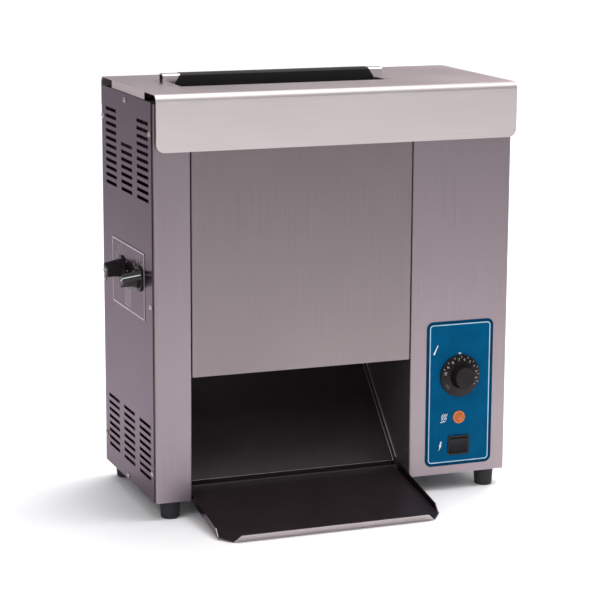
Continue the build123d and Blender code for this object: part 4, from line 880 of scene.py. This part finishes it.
# %% Floor
FLOOR_HALF = 40.0
floor_mesh = bmesh.new()
bmesh.ops.create_grid(floor_mesh, x_segments=1, y_segments=1, size=FLOOR_HALF)
floor_data = bpy.data.meshes.new("floor")
floor_mesh.to_mesh(floor_data)
floor_mesh.free()
floor = bpy.data.objects.new("floor", floor_data)
table_white, table_tree, table_shader = finish("white_table", base_color=linear("#f7f7f8"))
satin = noise(table_tree, [300.0] * 3, to=(0.55, 0.7))
table_tree.links.new(satin, table_shader.inputs["Roughness"])
floor_data.materials.append(table_white)
bpy.context.scene.collection.objects.link(floor)

# %% Lights
def soft_light(name, place, target, size, power):
    """White square area light at a place in metres, facing a target."""
    lamp = bpy.data.lights.new(name, "AREA")
    lamp.size = size
    lamp.energy = power
    light = bpy.data.objects.new(name, lamp)
    light.location = place
    light.rotation_euler = (Vector(target) - Vector(place)).to_track_quat("-Z", "Y").to_euler()
    bpy.context.scene.collection.objects.link(light)
    return light


TABLE_LIGHTS = {
    "ceiling_behind": ((6.2, 8.8, 5.0), (6.2, 8.8, 0.0), 13.0, 820),
    "over_table": ((0.6, 0.05, 2.2), (0.2, 0.0, 0.0), 1.4, 38),
}
STUDIO_LIGHTS = {
    "overhead": ((0.3, -0.2, 2.6), (0.1, 0.0, 0.0), 3.0, 40),
    "front_left": ((-2.0, -1.8, 2.2), (0.0, 0.05, 0.3), 1.2, 20),
    "right_behind": ((3.4, 3.2, 2.2), (0.3, 0.1, 0.5), 2.2, 55),
}
WORLD_GREY = "#f4f1f4"
WORLD_STRENGTH = 0.38

table_only = bpy.data.collections.new("table_only")
table_only.objects.link(floor)
for name, settings in TABLE_LIGHTS.items():
    soft_light(name, *settings).light_linking.receiver_collection = table_only
for name, settings in STUDIO_LIGHTS.items():
    soft_light(name, *settings)
world = bpy.data.worlds.new("studio")
bpy.context.scene.world = world
world.use_nodes = True
backdrop = world.node_tree.nodes["Background"]
backdrop.inputs["Color"].default_value = linear(WORLD_GREY)
backdrop.inputs["Strength"].default_value = WORLD_STRENGTH
bpy.context.scene.view_settings.view_transform = "Standard"
print(len(TABLE_LIGHTS), "lights for the table and", len(STUDIO_LIGHTS), "for everything")

# %% Camera
CAMERA_PLACE = (-855.25, -2777.9, 893.4)
CAMERA_YAW = radians(21.025)
CAMERA_PITCH = radians(11.747)
CAMERA_ROLL = radians(0.273)
FARTHEST = 100.0
SENSOR = 36.0
FOCAL_PIXELS = 2178.3
IMAGE_PIXELS = 600
ahead = Vector((sin(CAMERA_YAW), cos(CAMERA_YAW), 0))
forward = ahead * cos(CAMERA_PITCH) - Vector(UP) * sin(CAMERA_PITCH)
level = ahead.cross(Vector(UP))
upright = level.cross(forward)
right = level * cos(CAMERA_ROLL) + upright * sin(CAMERA_ROLL)
up = upright * cos(CAMERA_ROLL) - level * sin(CAMERA_ROLL)
camera_data = bpy.data.cameras.new("camera")
camera_data.sensor_fit = "HORIZONTAL"
camera_data.sensor_width = SENSOR
camera_data.lens = FOCAL_PIXELS * SENSOR / IMAGE_PIXELS
camera_data.clip_end = FARTHEST
camera = bpy.data.objects.new("camera", camera_data)
camera_axes = Matrix((right, up, -forward)).transposed()
camera.matrix_world = Matrix.Translation(at(*CAMERA_PLACE)) @ camera_axes.to_4x4()
bpy.context.scene.collection.objects.link(camera)
bpy.context.scene.camera = camera
print("camera lens", round(camera_data.lens, 1), "mm")
